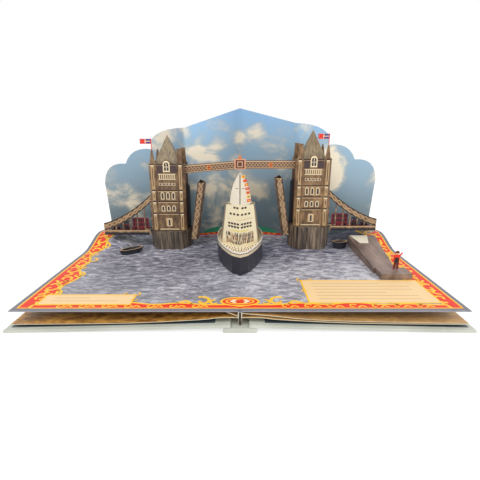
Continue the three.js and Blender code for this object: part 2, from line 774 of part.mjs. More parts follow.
const houseFoot = shipDeckTop + REST_GAP;
const houseTop = houseFoot + HOUSE_HEIGHT;
const houseY = bowY + HOUSE_SETBACK;
const houseHalf = SHIP_BEAM / 2 - 4;
const housePlan = (width, start, length) => {
  const half = [
    [HOUSE_SHOULDER * width, start + HOUSE_BLUFF * length],
    [width, start + 0.72 * length],
    [0.9 * width, start + length],
  ];
  return [[0, start], ...half, ...mirror(half)];
};
const houseTopLength = HOUSE_LENGTH - 2 * HOUSE_RAKE;
const houseRings = (shrink) => {
  const low = inset(housePlan(houseHalf, houseY, HOUSE_LENGTH), shrink);
  const high = inset(housePlan(houseHalf - HOUSE_TAPER, houseY + HOUSE_RAKE, houseTopLength), shrink);
  const droop = (y) => ((y - houseY - HOUSE_RAKE) / houseTopLength) * HOUSE_RAKE;
  const reach = shrink > 0 ? CARD : 0;
  return [
    low.map(([x, y]) => [x, y, houseFoot - reach]),
    high.map(([x, y]) => [x, y, houseTop - droop(y) + reach]),
  ];
};
add('ship_house', cut(loft(houseRings(0)), loft(houseRings(CARD))), '#e8dfc4');

// Rigging: two wings folded at the ridge, standing inside the top of the house
const wingTurn = Math.atan2(HOUSE_BLUFF * houseTopLength, HOUSE_SHOULDER * (houseHalf - HOUSE_TAPER));
const riggingRidge = houseY + HOUSE_RAKE + (1.5 * CARD + 2 * REST_GAP) / Math.cos(wingTurn);
function wing(side, reach) {
  const bottom = houseTop - RIGGING_SINK;
  const eave = houseTop + 2;
  const shape = new THREE.Shape();
  shape.moveTo(0, bottom);
  shape.lineTo(side * 0.6 * reach, bottom);
  shape.lineTo(side * 0.6 * reach, houseTop - 4);
  shape.lineTo(side * reach, eave);
  shape.quadraticCurveTo(side * 0.85 * reach, houseTop + 0.65 * RIGGING_HEIGHT, 0, houseTop + RIGGING_HEIGHT);
  shape.lineTo(0, bottom);
  return standing(shape, CARD, 0, riggingRidge, side * wingTurn);
}
add('ship_rigging', join(wing(-1, WING_LEFT), wing(1, WING_RIGHT)), '#f1ede0');

// Small boats: hollow card hulls with pointed ends
function boat({ x, y, length, beam, height, turn }) {
  const hull = (size, z) => {
    const side = [[-0.5, 0], [-0.3, -0.36], [0, -0.5], [0.3, -0.4], [0.5, 0]];
    const points = [...side, ...side.slice(1, -1).map(([a, b]) => [a, -b]).reverse()];
    return ring(points.map(([a, b]) => [a * length * size, b * beam * size]), z);
  };
  const outside = loft([hull(0.8, 0), hull(1, height)]);
  const inside = loft([hull(0.8 - (3 * CARD) / beam, CARD), hull(1 - (2 * CARD) / beam, height + CARD)]);
  const lift = Math.max(...[-1, 1].map((end) => curl(x + (end * length) / 2, y)));
  return cut(outside, inside).rotateZ(turn).translate(x, y, ground + lift);
}
const rowY = along(ROWBOAT.y);
const ferryY = along(FERRY.y);
add('rowing_boat', boat({ ...ROWBOAT, y: rowY }), '#2d3138');
add('ferry_boat', boat({ ...FERRY, y: ferryY }), '#3b3a40');

// Jetty: a folded card ramp with a square head, its walls trimmed to the page
const jettyBack = along(JETTY_BACK_Y);
const jettyStep = along(JETTY_STEP_Y);
const jettyEnd = along(JETTY_END_Y);
const jettyTop = (y) => {
  const share = Math.max(0, (y - jettyStep) / (jettyBack - jettyStep));
  return PAGE_TOP + JETTY_HEIGHT + JETTY_BACK_RISE * share;
};
const jettyPlan = [
  [JETTY_LEFT, jettyStep],
  [JETTY_LEFT + JETTY_FRONT_WIDTH, jettyStep],
  [JETTY_LEFT + JETTY_BACK_WIDTH, jettyBack],
  [JETTY_LEFT, jettyBack],
];
const headPlan = [
  [JETTY_LEFT + 2, jettyEnd],
  [JETTY_LEFT + 2 + JETTY_END_WIDTH, jettyEnd],
  [JETTY_LEFT + 2 + JETTY_END_WIDTH, jettyStep + CARD],
  [JETTY_LEFT + 2, jettyStep + CARD],
];
const onJetty = (points, offset) => points.map(([x, y]) => [x, y, jettyTop(y) + offset]);
const jettyRoom = inset(jettyPlan, CARD);
const headRoom = inset(headPlan, CARD);
const jettyShell = (plan, room) => cut(
  loft([ring(plan, footing), onJetty(plan, 0)]),
  loft([ring(room, footing - CARD), onJetty(room, -CARD)]),
);
const jettySolid = join(jettyShell(jettyPlan, jettyRoom), jettyShell(headPlan, headRoom));
add('jetty', cut(jettySolid, pageRoom), '#6f6760');

const tabBack = jettyBack - 2;
const tabFront = tabBack - TAB_LENGTH;
const tabPlan = [
  [JETTY_LEFT + 8, tabFront],
  [JETTY_LEFT + 8 + TAB_WIDTH * 0.5, tabFront],
  [JETTY_LEFT + 4 + TAB_WIDTH, tabBack],
  [JETTY_LEFT + 2, tabBack],
];
add('glue_tab', loft([onJetty(tabPlan, REST_GAP), onJetty(tabPlan, REST_GAP + CARD)]), '#e9e9e6');

// A plain card child who waves from the head of the jetty
const figureY = jettyStep - 4;
const figureFoot = jettyTop(figureY) + REST_GAP;
function figure() {
  const body = [
    [-3.2, 0], [-0.6, 0], [0, 7], [0.6, 0], [3.2, 0], [3, 8], [3.4, 15],
    [6.4, 19.5], [5.4, 20.6], [2.6, 17.4], [1.2, 17.6], [-1.2, 17.6], [-3, 17.2],
    [-4.6, 10], [-3.4, 9.4], [-2.6, 12], [-3, 8],
  ].map(([x, z]) => [x, (z / 23) * FIGURE_HEIGHT]);
  const head = new THREE.Shape().absarc(0, (20 / 23) * FIGURE_HEIGHT, HEAD_RADIUS, 0, 2 * Math.PI);
  return join(standing(outline(body), CARD), standing(head, CARD));
}
add('waving_child', figure().translate(FIGURE_X, figureY, figureFoot), '#9c3c36');

export default book;
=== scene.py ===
# %% [markdown]
# An open pop-up book. Its covers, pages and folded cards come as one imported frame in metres, and this
# lesson gives them paper, board and printing ink. A print on real card is a thin film, so most of it is
# made here as very thin sheets that lie on the card. That keeps every edge of the print crisp.

# %% Load the frame
import math
import random

import bmesh
import bpy
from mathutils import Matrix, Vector
from mathutils.bvhtree import BVHTree


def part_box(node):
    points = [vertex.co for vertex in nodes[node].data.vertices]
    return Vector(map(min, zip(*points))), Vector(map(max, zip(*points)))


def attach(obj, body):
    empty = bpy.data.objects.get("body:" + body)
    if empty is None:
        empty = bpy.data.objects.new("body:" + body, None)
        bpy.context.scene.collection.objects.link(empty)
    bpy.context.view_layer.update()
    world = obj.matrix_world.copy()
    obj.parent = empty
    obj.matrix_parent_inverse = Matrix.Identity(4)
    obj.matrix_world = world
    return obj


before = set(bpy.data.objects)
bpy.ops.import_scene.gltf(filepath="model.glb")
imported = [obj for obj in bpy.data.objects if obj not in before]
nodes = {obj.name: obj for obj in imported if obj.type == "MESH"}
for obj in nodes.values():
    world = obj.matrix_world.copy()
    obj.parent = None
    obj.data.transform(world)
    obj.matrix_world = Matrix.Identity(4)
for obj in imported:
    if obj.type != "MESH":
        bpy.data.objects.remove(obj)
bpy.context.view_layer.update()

# %% [markdown]
# Every size below is a real one in millimetres. Blender works in metres, so one factor turns them over.
# Paper and card are thin dielectrics: IOR about 1.5, no metal, and a roughness that a coating lowers.

# %% Units and colour
MM = 0.001
PAPER_IOR = 1.5
INK_FILM = 0.06
SIDES = (("left", -1), ("right", 1))


def linear(code):
    """An sRGB hex colour as the linear numbers that a shader reads."""
    parts = [int(code[i:i + 2], 16) / 255 for i in (1, 3, 5)]
    steps = [p / 12.92 if p <= 0.04045 else ((p + 0.055) / 1.055) ** 2.4 for p in parts]
    return (*steps, 1.0)


def add_node(tree, kind, links=None, **settings):
    """Adds a shader node. links maps an input's name or number to a socket or a plain value."""
    made = tree.nodes.new(kind)
    for name, value in settings.items():
        setattr(made, name, value)
    for name, value in (links or {}).items():
        if isinstance(value, bpy.types.NodeSocket):
            tree.links.new(value, made.inputs[name])
        else:
            made.inputs[name].default_value = value
    return made


def new_finish(name, roughness):
    """A dielectric with typical paper values. Returns the material, its tree and its main shader."""
    finish = bpy.data.materials.new(name)
    finish.use_nodes = True
    shader = finish.node_tree.nodes["Principled BSDF"]
    shader.inputs["IOR"].default_value = PAPER_IOR
    shader.inputs["Roughness"].default_value = roughness
    return finish, finish.node_tree, shader


def plain_ink(name, code, roughness=0.5):
    """One flat printed colour."""
    finish, _, shader = new_finish(name, roughness)
    shader.inputs["Base Color"].default_value = linear(code)
    return finish


def fill_ramp(ramp, stops):
    """Gives a colour ramp its stops, each a position and a hex colour or a plain one."""
    band = ramp.color_ramp
    while len(band.elements) < len(stops):
        band.elements.new(0.5)
    for stop, (position, colour) in zip(band.elements, stops):
        stop.position = position
        stop.color = linear(colour) if isinstance(colour, str) else colour


print("helpers ready")

# %% [markdown]
# Printed pictures on this kind of card are painterly: one colour drifts into the next in streaks. Noise that
# is stretched along one axis gives such strokes. The stretch and the size of a stroke are real lengths.

# %% A card with a painted, two- or three-colour print
NOISE_SPREAD = 0.16
BLOTCH_SHARE = 0.38


def painted_card(name, codes, stroke, roughness=0.45, detail=4.0, blotch=0.0):
    """Noise strokes of the size stroke (x, y, z in mm) that run through the colours in codes."""
    finish, tree, shader = new_finish(name, roughness)
    place = add_node(tree, "ShaderNodeTexCoord").outputs["Object"]
    scale = tuple(1 / (size * MM) for size in stroke)
    drawn = add_node(tree, "ShaderNodeMapping", {"Vector": place, "Scale": scale}).outputs["Vector"]
    noise = add_node(tree, "ShaderNodeTexNoise",
                     {"Vector": drawn, "Scale": 1.0, "Detail": detail, "Roughness": 0.6})
    level = noise.outputs["Fac"]
    if blotch:
        wide = add_node(tree, "ShaderNodeTexNoise",
                        {"Vector": place, "Scale": 1 / (blotch * MM), "Detail": 2.0})
        level = add_node(tree, "ShaderNodeMath", {0: level, 1: 1 - BLOTCH_SHARE},
                         operation="MULTIPLY").outputs[0]
        level = add_node(tree, "ShaderNodeMath", {0: wide.outputs["Fac"], 1: BLOTCH_SHARE, 2: level},
                         operation="MULTIPLY_ADD").outputs[0]
    ramp = add_node(tree, "ShaderNodeValToRGB", {"Fac": level})
    low, high = 0.5 - NOISE_SPREAD, 0.5 + NOISE_SPREAD
    fill_ramp(ramp, [(low + (high - low) * i / (len(codes) - 1), code) for i, code in enumerate(codes)])
    tree.links.new(ramp.outputs["Color"], shader.inputs["Base Color"])
    return finish


def wear(node_name, finish):
    """Gives a CAD node one finish."""
    slots = nodes[node_name].data.materials
    slots.clear()
    slots.append(finish)


COVER_BOARD = painted_card("greyboard_wrapped_in_pale_paper", ["#b3b7ab", "#c4c7bb"], (40, 40, 40), 0.6)
# The left tower and pier get darker colours than the right ones: painted shade, as the light falls from the
# right.
LIT_AND_SHADED_STONE_CODES = {"left": (["#3f2d20", "#6a5038", "#967a57"], ["#27211d", "#52463c", "#82715e"]),
               "right": (["#4b3625", "#7b5e40", "#a98962"], ["#2c2520", "#5f5145", "#93806b"])}
MASONRY = {}
PIER_STONE = {}
for side, (wall_codes, pier_codes) in LIT_AND_SHADED_STONE_CODES.items():
    MASONRY[side] = painted_card(f"coated_card_{side}_masonry_print", wall_codes, (5, 5, 11), 0.45, 5.0, 22)
    PIER_STONE[side] = painted_card(f"coated_card_{side}_streaked_pier_print", pier_codes, (3, 3, 40), 0.45)
SLATE = painted_card("coated_card_slate_print", ["#65583f", "#7f6f54", "#988564"], (2.6, 2.6, 12), 0.45)
TIMBER = painted_card("coated_card_jetty_print", ["#5d4b42", "#806b60", "#957f73"], (14, 60, 14), 0.45)
IRON = painted_card("coated_card_brown_ironwork_print", ["#4f3a2c", "#7c624b", "#a78c6e"], (6, 6, 6), 0.45)
WHITE_CARD = painted_card("white_coated_card", ["#ded4bd", "#ece3d0"], (20, 20, 20), 0.5)
NIGHT_CARD = plain_ink("coated_card_blue_black_print", "#1d1f28", 0.35)
CREAM = plain_ink("cream_ink", "#efe0bd")
DARK = plain_ink("dark_brown_ink", "#2b1d16")
PURPLE_BROWN = plain_ink("purple_brown_ink", "#41302f")
TAN = plain_ink("tan_ink", "#c9a67a")
RED = plain_ink("scarlet_ink", "#e22d0e")
GOLD = plain_ink("yellow_ochre_ink", "#fbc232")
ORANGE = plain_ink("orange_ink", "#dd7427")
MAROON = plain_ink("maroon_ink", "#5f2a28")
BRICK = plain_ink("brick_red_ink", "#8a4434")
BLUE = plain_ink("blue_ink", "#3a4a86")
GREEN = plain_ink("green_ink", "#2c8a66")
PANEL_CREAM = plain_ink("cream_panel_ink", "#ecca96")
BUS_RED = plain_ink("bus_red_ink", "#7f2530")
GREY_LINE = plain_ink("grey_brown_line_ink", "#b69a78")
BLUSH = plain_ink("blush_ink", "#dc9d78")
WALKWAY_BROWN = plain_ink("walkway_brown_ink", "#5c3f38")
print("finishes:", len(bpy.data.materials))

# %% [markdown]
# The sky sheet is a soft gradient with broad clouds. Height above the table picks the blue. A list of round
# puffs says where clouds gather, noise frays them, and each panel between two folds gets a painted shade.

# %% Sky card
SKY_HALF = 150 * MM
SKY_FOOT = 20 * MM
SKY_TOP = 210 * MM
CLOUD_SCALE = (17, 17, 23)
AIR = [(0.0, "#58666a"), (0.25, "#72868f"), (0.5, "#8aa3b3"), (0.78, "#92b2c9"), (1.0, "#8ab4dc")]
CLOUD_TINTS = [(0.47, "#a9aca6"), (0.6, "#f0e2c6")]
# Painted shade: each sky panel between two folds is made lighter or darker as the light would fall on it.
SKY_PAINTED_PANEL_SHADE = ((-140, 0.95), (-86, 0.78), (-82, 1.2), (-50, 1.1), (-4, 0.8), (6, 0.9), (60, 0.95), (84, 0.95),
             (92, 1.1))
CLOUDS = ((-178, 103, 24), (-114, 182, 22), (-64, 165, 26), (-40, 160, 24), (-4, 176, 15), (27, 186, 20),
          (-46, 104, 26), (27, 98, 26), (64, 130, 22), (151, 128, 30), (140, 108, 24), (-150, 136, 20))
CLOUD_PULL = 0.17
CLOUD_SCARCITY = 0.03
CLOUD_EDGE = (0.44, 0.62)
CLOUD_COVER = 0.85


def sky_print():
    finish, tree, shader = new_finish("coated_card_cloudy_sky_print", 0.5)
    place = add_node(tree, "ShaderNodeTexCoord").outputs["Object"]
    parts = add_node(tree, "ShaderNodeSeparateXYZ", {0: place}).outputs
    share = add_node(tree, "ShaderNodeMapRange",
                     {"Value": parts["Z"], "From Min": SKY_FOOT, "From Max": SKY_TOP})
    air = add_node(tree, "ShaderNodeValToRGB", {"Fac": share.outputs[0]})
    fill_ramp(air, AIR)
    flat = add_node(tree, "ShaderNodeMapping",
                    {"Vector": place, "Scale": CLOUD_SCALE, "Location": (1.35, 0, 0.6)})
    cloud = add_node(tree, "ShaderNodeTexNoise", {"Vector": flat.outputs[0], "Scale": 1.0, "Detail": 5.0,
                                                  "Roughness": 0.55, "Distortion": 0.4})
    upright = add_node(tree, "ShaderNodeMapping", {"Vector": place, "Scale": (1, 0, 1)}).outputs[0]
    puffs = 0.0
    for x, z, reach in CLOUDS:
        far = add_node(tree, "ShaderNodeVectorMath", {0: upright, 1: (x * MM, 0, z * MM)},
                       operation="DISTANCE")
        puff = add_node(tree, "ShaderNodeMapRange", {"Value": far.outputs["Value"], "From Min": reach * MM,
                                                     "From Max": 0.0})
        puffs = add_node(tree, "ShaderNodeMath", {0: puffs, 1: puff.outputs[0]},
                         operation="MAXIMUM").outputs[0]
    fray = add_node(tree, "ShaderNodeMath", {0: cloud.outputs["Fac"], 1: CLOUD_SCARCITY},
                    operation="SUBTRACT")
    thick = add_node(tree, "ShaderNodeMath", {0: puffs, 1: CLOUD_PULL, 2: fray.outputs[0]},
                     operation="MULTIPLY_ADD").outputs[0]
    cover = add_node(tree, "ShaderNodeMapRange",
                     {"Value": thick, "From Min": CLOUD_EDGE[0], "From Max": CLOUD_EDGE[1]})
    tint = add_node(tree, "ShaderNodeValToRGB", {"Fac": thick})
    fill_ramp(tint, CLOUD_TINTS)
    thin = add_node(tree, "ShaderNodeMath", {0: cover.outputs[0], 1: CLOUD_COVER}, operation="MULTIPLY")
    mix = add_node(tree, "ShaderNodeMix", {0: thin.outputs[0], 6: air.outputs[0], 7: tint.outputs[0]},
                   data_type="RGBA")
    along = add_node(tree, "ShaderNodeMapRange",
                     {"Value": parts["X"], "From Min": -SKY_HALF, "From Max": SKY_HALF})
    painted_panel_shade = add_node(tree, "ShaderNodeValToRGB", {"Fac": along.outputs[0]})
    fill_ramp(painted_panel_shade, [((x * MM + SKY_HALF) / (2 * SKY_HALF), (level, level, level, 1))
                      for x, level in SKY_PAINTED_PANEL_SHADE])
    lit = add_node(tree, "ShaderNodeMix", {0: 1.0, 6: mix.outputs[2], 7: painted_panel_shade.outputs[0]},
                   data_type="RGBA", blend_type="MULTIPLY")
    tree.links.new(lit.outputs[2], shader.inputs["Base Color"])
    return finish


wear("sky_backdrop", sky_print())
print("sky card printed")

# %% [markdown]
# The page block is one solid, but its parts look different: the open spread is printed with water, the leaves
# below with gold, and cut edges and undersides are bare paper. The height of a point and the way its surface
# faces tell these apart, so one finish can paint the whole block.

# %% Page block
OPEN_SPREAD_FLOOR = 19.5 * MM
WATER = [(0.56, "#333448"), (0.66, "#646275"), (0.76, "#8f8d9b"), (0.86, "#c8c7ce")]
LOWER_GOLD = [(0.4, "#8a5a25"), (0.6, "#d9a04c")]
RIPPLE_SCALE = (85, 190, 85)
SWELL_SCALE = 9.0
SWELL_SHARE = 0.45
FRONT_PALING = 0.26
RIGHT_PAINTED_LIGHT = 0.45
FACES_UP = 0.3


def page_print():
    finish, tree, shader = new_finish("coated_card_water_print", 0.38)
    place = add_node(tree, "ShaderNodeTexCoord").outputs["Object"]
    strokes = add_node(tree, "ShaderNodeMapping", {"Vector": place, "Scale": RIPPLE_SCALE}).outputs[0]
    ripple = add_node(tree, "ShaderNodeTexNoise", {"Vector": strokes, "Scale": 1.0, "Detail": 5.0,
                                                   "Roughness": 0.68, "Distortion": 0.7})
    swell = add_node(tree, "ShaderNodeTexNoise", {"Vector": place, "Scale": SWELL_SCALE, "Detail": 2.0})
    level = add_node(tree, "ShaderNodeMath",
                     {0: swell.outputs["Fac"], 1: SWELL_SHARE, 2: ripple.outputs["Fac"]},
                     operation="MULTIPLY_ADD")
    water = add_node(tree, "ShaderNodeValToRGB", {"Fac": level.outputs[0]})
    fill_ramp(water, WATER)
    parts = add_node(tree, "ShaderNodeSeparateXYZ", {0: place}).outputs
    near = add_node(tree, "ShaderNodeMapRange", {"Value": parts["Y"], "From Min": 0.06, "From Max": -0.12,
                                                 "To Max": FRONT_PALING})
    paled = add_node(tree, "ShaderNodeMix", {0: near.outputs[0], 6: water.outputs[0], 7: linear("#c3c1bd")},
                     data_type="RGBA")
    # Painted light: the lower leaves' gold stays darker on the left, a painted shade under the upper leaves,
    # and turns paler on the right.
    gold = add_node(tree, "ShaderNodeValToRGB", {"Fac": ripple.outputs["Fac"]})
    fill_ramp(gold, LOWER_GOLD)
    right = add_node(tree, "ShaderNodeMapRange", {"Value": parts["X"], "From Min": -0.02, "From Max": 0.02,
                                                  "To Max": RIGHT_PAINTED_LIGHT})
    golden = add_node(tree, "ShaderNodeMix", {0: right.outputs[0], 6: gold.outputs[0], 7: linear("#dcb27a")},
                      data_type="RGBA")
    upper = add_node(tree, "ShaderNodeMath", {0: parts["Z"], 1: OPEN_SPREAD_FLOOR}, operation="GREATER_THAN")
    pages = add_node(tree, "ShaderNodeMix", {0: upper.outputs[0], 6: golden.outputs[2], 7: paled.outputs[2]},
                     data_type="RGBA")
    facing = add_node(tree, "ShaderNodeNewGeometry").outputs["Normal"]
    up = add_node(tree, "ShaderNodeSeparateXYZ", {0: facing}).outputs["Z"]
    printed = add_node(tree, "ShaderNodeMath", {0: up, 1: FACES_UP}, operation="GREATER_THAN")
    edges = add_node(tree, "ShaderNodeMix", {0: upper.outputs[0], 6: linear("#c9bfa4"), 7: linear("#8d8a90")},
                     data_type="RGBA")
    paper = add_node(tree, "ShaderNodeMix", {0: printed.outputs[0], 6: edges.outputs[2], 7: pages.outputs[2]},
                     data_type="RGBA")
    tree.links.new(paper.outputs[2], shader.inputs["Base Color"])
    return finish


wear("pages", page_print())
PAIRS = {"cover": COVER_BOARD, "roof": SLATE, "flag": RED, "span": IRON, "deck": NIGHT_CARD,
         "traffic": BUS_RED, "bridge_leaf": IRON, "leaf_stay": NIGHT_CARD}
SINGLES = {"spine_board": COVER_BOARD, "walkway": WALKWAY_BROWN, "crest": BLUSH, "ship_deck": CREAM,
           "ship_rigging": WHITE_CARD, "rowing_boat": NIGHT_CARD, "ferry_boat": NIGHT_CARD,
           "jetty": TIMBER, "glue_tab": WHITE_CARD, "waving_child": RED}
for side, _ in SIDES:
    wear(f"{side}_tower", MASONRY[side])
    wear(f"{side}_pier", PIER_STONE[side])
    for label, finish in PAIRS.items():
        wear(f"{side}_{label}", finish)
for name, finish in SINGLES.items():
    wear(name, finish)
print("frame dressed")

# %% [markdown]
# A printed shape is a flat outline that is laid on a face and pulled up by a fraction of a millimetre. A face
# is a point and two directions, so the same drawing code works on a wall, a slope or a lattice.

# %% Ink layers
REACH = 40


def surface_of(name):
    """A node's surface, ready to be hit by straight lines."""
    grown = bmesh.new()
    grown.from_mesh(nodes[name].data)
    made = BVHTree.FromBMesh(grown)
    grown.free()
    return made


class Face:
    """A printed face: a corner in mm, and directions to the right and up as the eye meets it.
    With a node's surface, the drawing is pressed straight onto it, so it follows curves and slopes."""

    def __init__(self, corner, right, up, surface=None):
        self.corner = Vector(corner)
        self.right = Vector(right).normalized()
        self.up = Vector(up).normalized()
        self.out = self.right.cross(self.up)
        self.surface = surface

    def at(self, across, high, lift):
        spot = self.corner + self.right * across + self.up * high
        if self.surface:
            hit = self.surface.ray_cast((spot + self.out * REACH) * MM, -self.out)[0]
            spot = hit / MM if hit else spot
        return (spot + self.out * lift) * MM


def new_object(name, mesh, finish):
    """Turns a built mesh into an object of the scene with one finish."""
    data = bpy.data.meshes.new(name)
    mesh.to_mesh(data)
    mesh.free()
    data.materials.append(finish)
    made = bpy.data.objects.new(name, data)
    bpy.context.collection.objects.link(made)
    return made


def ink(name, finish, shapes, face, body="spread", lift=0.05):
    """Lays outlines of (across, high) points on a face as one thin closed sheet each."""
    mesh = bmesh.new()
    for outline in shapes:
        base = mesh.faces.new([mesh.verts.new(face.at(a, h, lift)) for a, h in outline])
        grown = bmesh.ops.extrude_face_region(mesh, geom=[base])["geom"]
        bmesh.ops.translate(mesh, verts=[v for v in grown if isinstance(v, bmesh.types.BMVert)],
                            vec=face.out * INK_FILM * MM)
    bmesh.ops.recalc_face_normals(mesh, faces=mesh.faces)
    layer = new_object(name, mesh, finish)
    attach(layer, body)


def block(left, low, right, high):
    return [(left, low), (right, low), (right, high), (left, high)]


def arch(middle, low, width, height, steps=6):
    """A window: straight sides and a round head."""
    half = width / 2
    spring = low + height - half
    head = [(middle + half * math.cos(math.pi * i / steps), spring + half * math.sin(math.pi * i / steps))
            for i in range(steps + 1)]
    return [(middle - half, low), (middle + half, low), *head]


def stroke(points, width):
    """A line of ink with square joints, as one quad for each step."""
    quads = []
    for (x0, y0), (x1, y1) in zip(points, points[1:]):
        run = Vector((x1 - x0, y1 - y0))
        if run.length < 1e-6:
            continue
        side = Vector((-run.y, run.x)).normalized() * width / 2
        quads.append([(x0 + side.x, y0 + side.y), (x0 - side.x, y0 - side.y),
                      (x1 - side.x, y1 - side.y), (x1 + side.x, y1 + side.y)])
    return quads


def disc(x, y, radius, steps=12, squash=1.0):
    turns = [2 * math.pi * i / steps for i in range(steps)]
    return [(x + radius * math.cos(turn), y + squash * radius * math.sin(turn)) for turn in turns]


def bar(middle, half, low, high):
    """A block round a middle."""
    return block(middle - half, low, middle + half, high)


def side_block(sign, start, low, end, high):
    """A block on one side of the middle, with its lengths counted from the middle."""
    near, far = sorted((sign * start, sign * end))
    return block(near, low, far, high)


def mirrored(points, sign):
    """Points as they are, or on the other side of the middle and turned round."""
    return points if sign > 0 else [(-x, y) for x, y in reversed(points)]


def node_box(name):
    low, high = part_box(name)
    return [v / MM for v in low], [v / MM for v in high]


print("ink helpers ready")

# %% [markdown]
# Each tower face has four levels, parted by dark string courses. Arched windows have pale frames: one on the
# first level, three on the next two, then a frieze, a railing and a larger dormer that fills the gable.

# %% Towers
LEVELS = (0.0, 0.275, 0.455, 0.62, 1.0)
WINDOWS = ((0, 6.0, 11.5, 1), (1, 2.0, 8.5, 3), (2, 2.0, 10.6, 3))
WINDOW_PITCH = 7.6
FRIEZE = 0.685
FRIEZE_PITCH = 4.6
RAIL = 0.76
RAIL_POSTS = 8
RAIL_PITCH = 2.9
TURRET = 9.5
TURRET_HEAD = 20
TURRET_MIDDLE = 5.5
WALL_SET_BACK = 1.5
DOOR_HALF = 4.4
DORMER_GAP = 5.4
COURSE = 1.6
COLUMN_INK = plain_ink("light_masonry_ink", "#b4956b")
FRAME_INK = plain_ink("window_frame_ink", "#dfcba5")


def tower_prints(side, sign):
    low, high = node_box(f"{side}_tower")
    width = high[0] - low[0]
    shaft = high[2] - low[2] - TURRET_HEAD
    inner = width / 2 - TURRET - 1
    middle = width / 2
    fronts = (("front", Face((low[0], low[1] + WALL_SET_BACK, low[2]), (1, 0, 0), (0, 0, 1))),
              ("back", Face((high[0], high[1] - WALL_SET_BACK, low[2]), (-1, 0, 0), (0, 0, 1))))
    for place, face in fronts:
        dark, cream, pale, glass, tan = [], [], [], [], []
        for level in LEVELS[1:]:
            top = level * shaft
            dark.append(bar(middle, inner, top - COURSE, top))
            tan.append(bar(middle, inner, top - COURSE - 1.2, top - COURSE - 0.3))
        for level, rise, room, count in WINDOWS:
            floor = LEVELS[level] * shaft + rise
            for i in range(count):
                x = middle + (i - (count - 1) / 2) * WINDOW_PITCH
                cream.append(arch(x, floor, 5.0, room))
                glass.append(arch(x, floor + 1.1, 2.8, room - 2.4))
        for i in range(5):
            x = middle + (i - 2) * FRIEZE_PITCH
            cream.append(bar(x, 1.9, FRIEZE * shaft, FRIEZE * shaft + 3.4))
            glass.append(arch(x, FRIEZE * shaft + 0.6, 2.4, 2.6))
        rail = RAIL * shaft
        pale.append(bar(middle, inner - 2, rail + 1, rail + 2))
        pale.append(bar(middle, inner - 2, rail + 8, rail + 9))
        for i in range(RAIL_POSTS):
            x = middle + RAIL_PITCH * (i - (RAIL_POSTS - 1) / 2)
            pale.append(bar(x, 0.6, rail + 2, rail + 8))
        glass.append(block(middle - inner + 0.5, rail + 10, middle - DORMER_GAP, shaft - 2.2))
        glass.append(block(middle + DORMER_GAP, rail + 10, middle + inner - 0.5, shaft - 2.2))
        pale.append(bar(middle, inner, 1, 2.4))
        tan.append(bar(middle, DOOR_HALF, 6, LEVELS[1] * shaft - 8))
        ink(f"{side}_tower_{place}_courses", DARK, dark, face)
        ink(f"{side}_tower_{place}_bands", TAN, tan, face)
        ink(f"{side}_tower_{place}_sills", FRAME_INK, pale, face, lift=0.12)
        ink(f"{side}_tower_{place}_frames", FRAME_INK, cream, face, lift=0.12)
        ink(f"{side}_tower_{place}_glass", PURPLE_BROWN, glass, face, lift=0.2)
        gable_frame = [arch(middle, shaft - 11, 9, 15)]
        ink(f"{side}_tower_{place}_dormer", CREAM, gable_frame, face, lift=0.2)
        panes = [arch(middle, shaft - 9.5, 6.4, 11.6)]
        ink(f"{side}_tower_{place}_dormer_glass", PURPLE_BROWN, panes, face, lift=0.28)
        bars = [bar(middle, 0.4, shaft - 9.5, shaft + 1.8), bar(middle, 3.1, shaft - 4.6, shaft - 3.9)]
        ink(f"{side}_tower_{place}_dormer_bars", CREAM, bars, face, lift=0.36)
    depth = high[1] - low[1]
    for wall, right in (("outer", sign), ("inner", -sign)):
        x, y = (high[0], low[1]) if right > 0 else (low[0], high[1])
        face = Face((x - WALL_SET_BACK * right, y, low[2]), (0, right, 0), (0, 0, 1))
        strips = [block(TURRET + 1, level * shaft - COURSE, depth - TURRET - 1, level * shaft)
                  for level in LEVELS[1:]]
        ink(f"{side}_tower_{wall}_courses", DARK, strips, face)
        bricks = [block(TURRET + 3, a * shaft + 4, depth - TURRET - 3, b * shaft - 4)
                  for a, b in zip(LEVELS, LEVELS[1:])]
        ink(f"{side}_tower_{wall}_brickwork", BRICK, bricks, face)


for side, sign in SIDES:
    tower_prints(side, sign)
print("towers printed")

# %% [markdown]
# The turrets at the tower's corners are narrow facets that face straight to the front. Dark lines and pale
# bands mark their courses, in step with the courses of the wall between them.

# %% Turrets
BAND_HALF = 2.2
COLUMN_HALF = 2.0
SLIT_HALF = 0.5


def turret_prints(side):
    low, high = node_box(f"{side}_tower")
    shaft = high[2] - low[2] - TURRET_HEAD
    face = Face((low[0], low[1], low[2]), (1, 0, 0), (0, 0, 1))
    lines, bands, slits, columns = [], [], [], []
    for middle in (TURRET_MIDDLE, high[0] - low[0] - TURRET_MIDDLE):
        for a, b in zip(LEVELS, LEVELS[1:]):
            foot, top = a * shaft, b * shaft
            lines.append(bar(middle, BAND_HALF, top - COURSE, top))
            bands.append(bar(middle, BAND_HALF, top - 2 * COURSE, top - COURSE - 0.2))
            slits.append(bar(middle, SLIT_HALF, foot + 5, top - 6))
            columns.append(bar(middle, COLUMN_HALF, foot + 0.8, top - 2 * COURSE - 0.3))
    ink(f"{side}_turret_courses", DARK, lines, face)
    ink(f"{side}_turret_bands", CREAM, bands, face)
    ink(f"{side}_turret_columns", COLUMN_INK, columns, face)
    ink(f"{side}_turret_slits", PURPLE_BROWN, slits, face, lift=0.15)


for side, _ in SIDES:
    turret_prints(side)
print("turrets printed")

# %% [markdown]
# The walkway, the chains of the side spans and the raised leaves are all printed ironwork: a pale lattice of
# crossed bars between two borders. One function draws the crosses between a lower and an upper line.

# %% Lattice


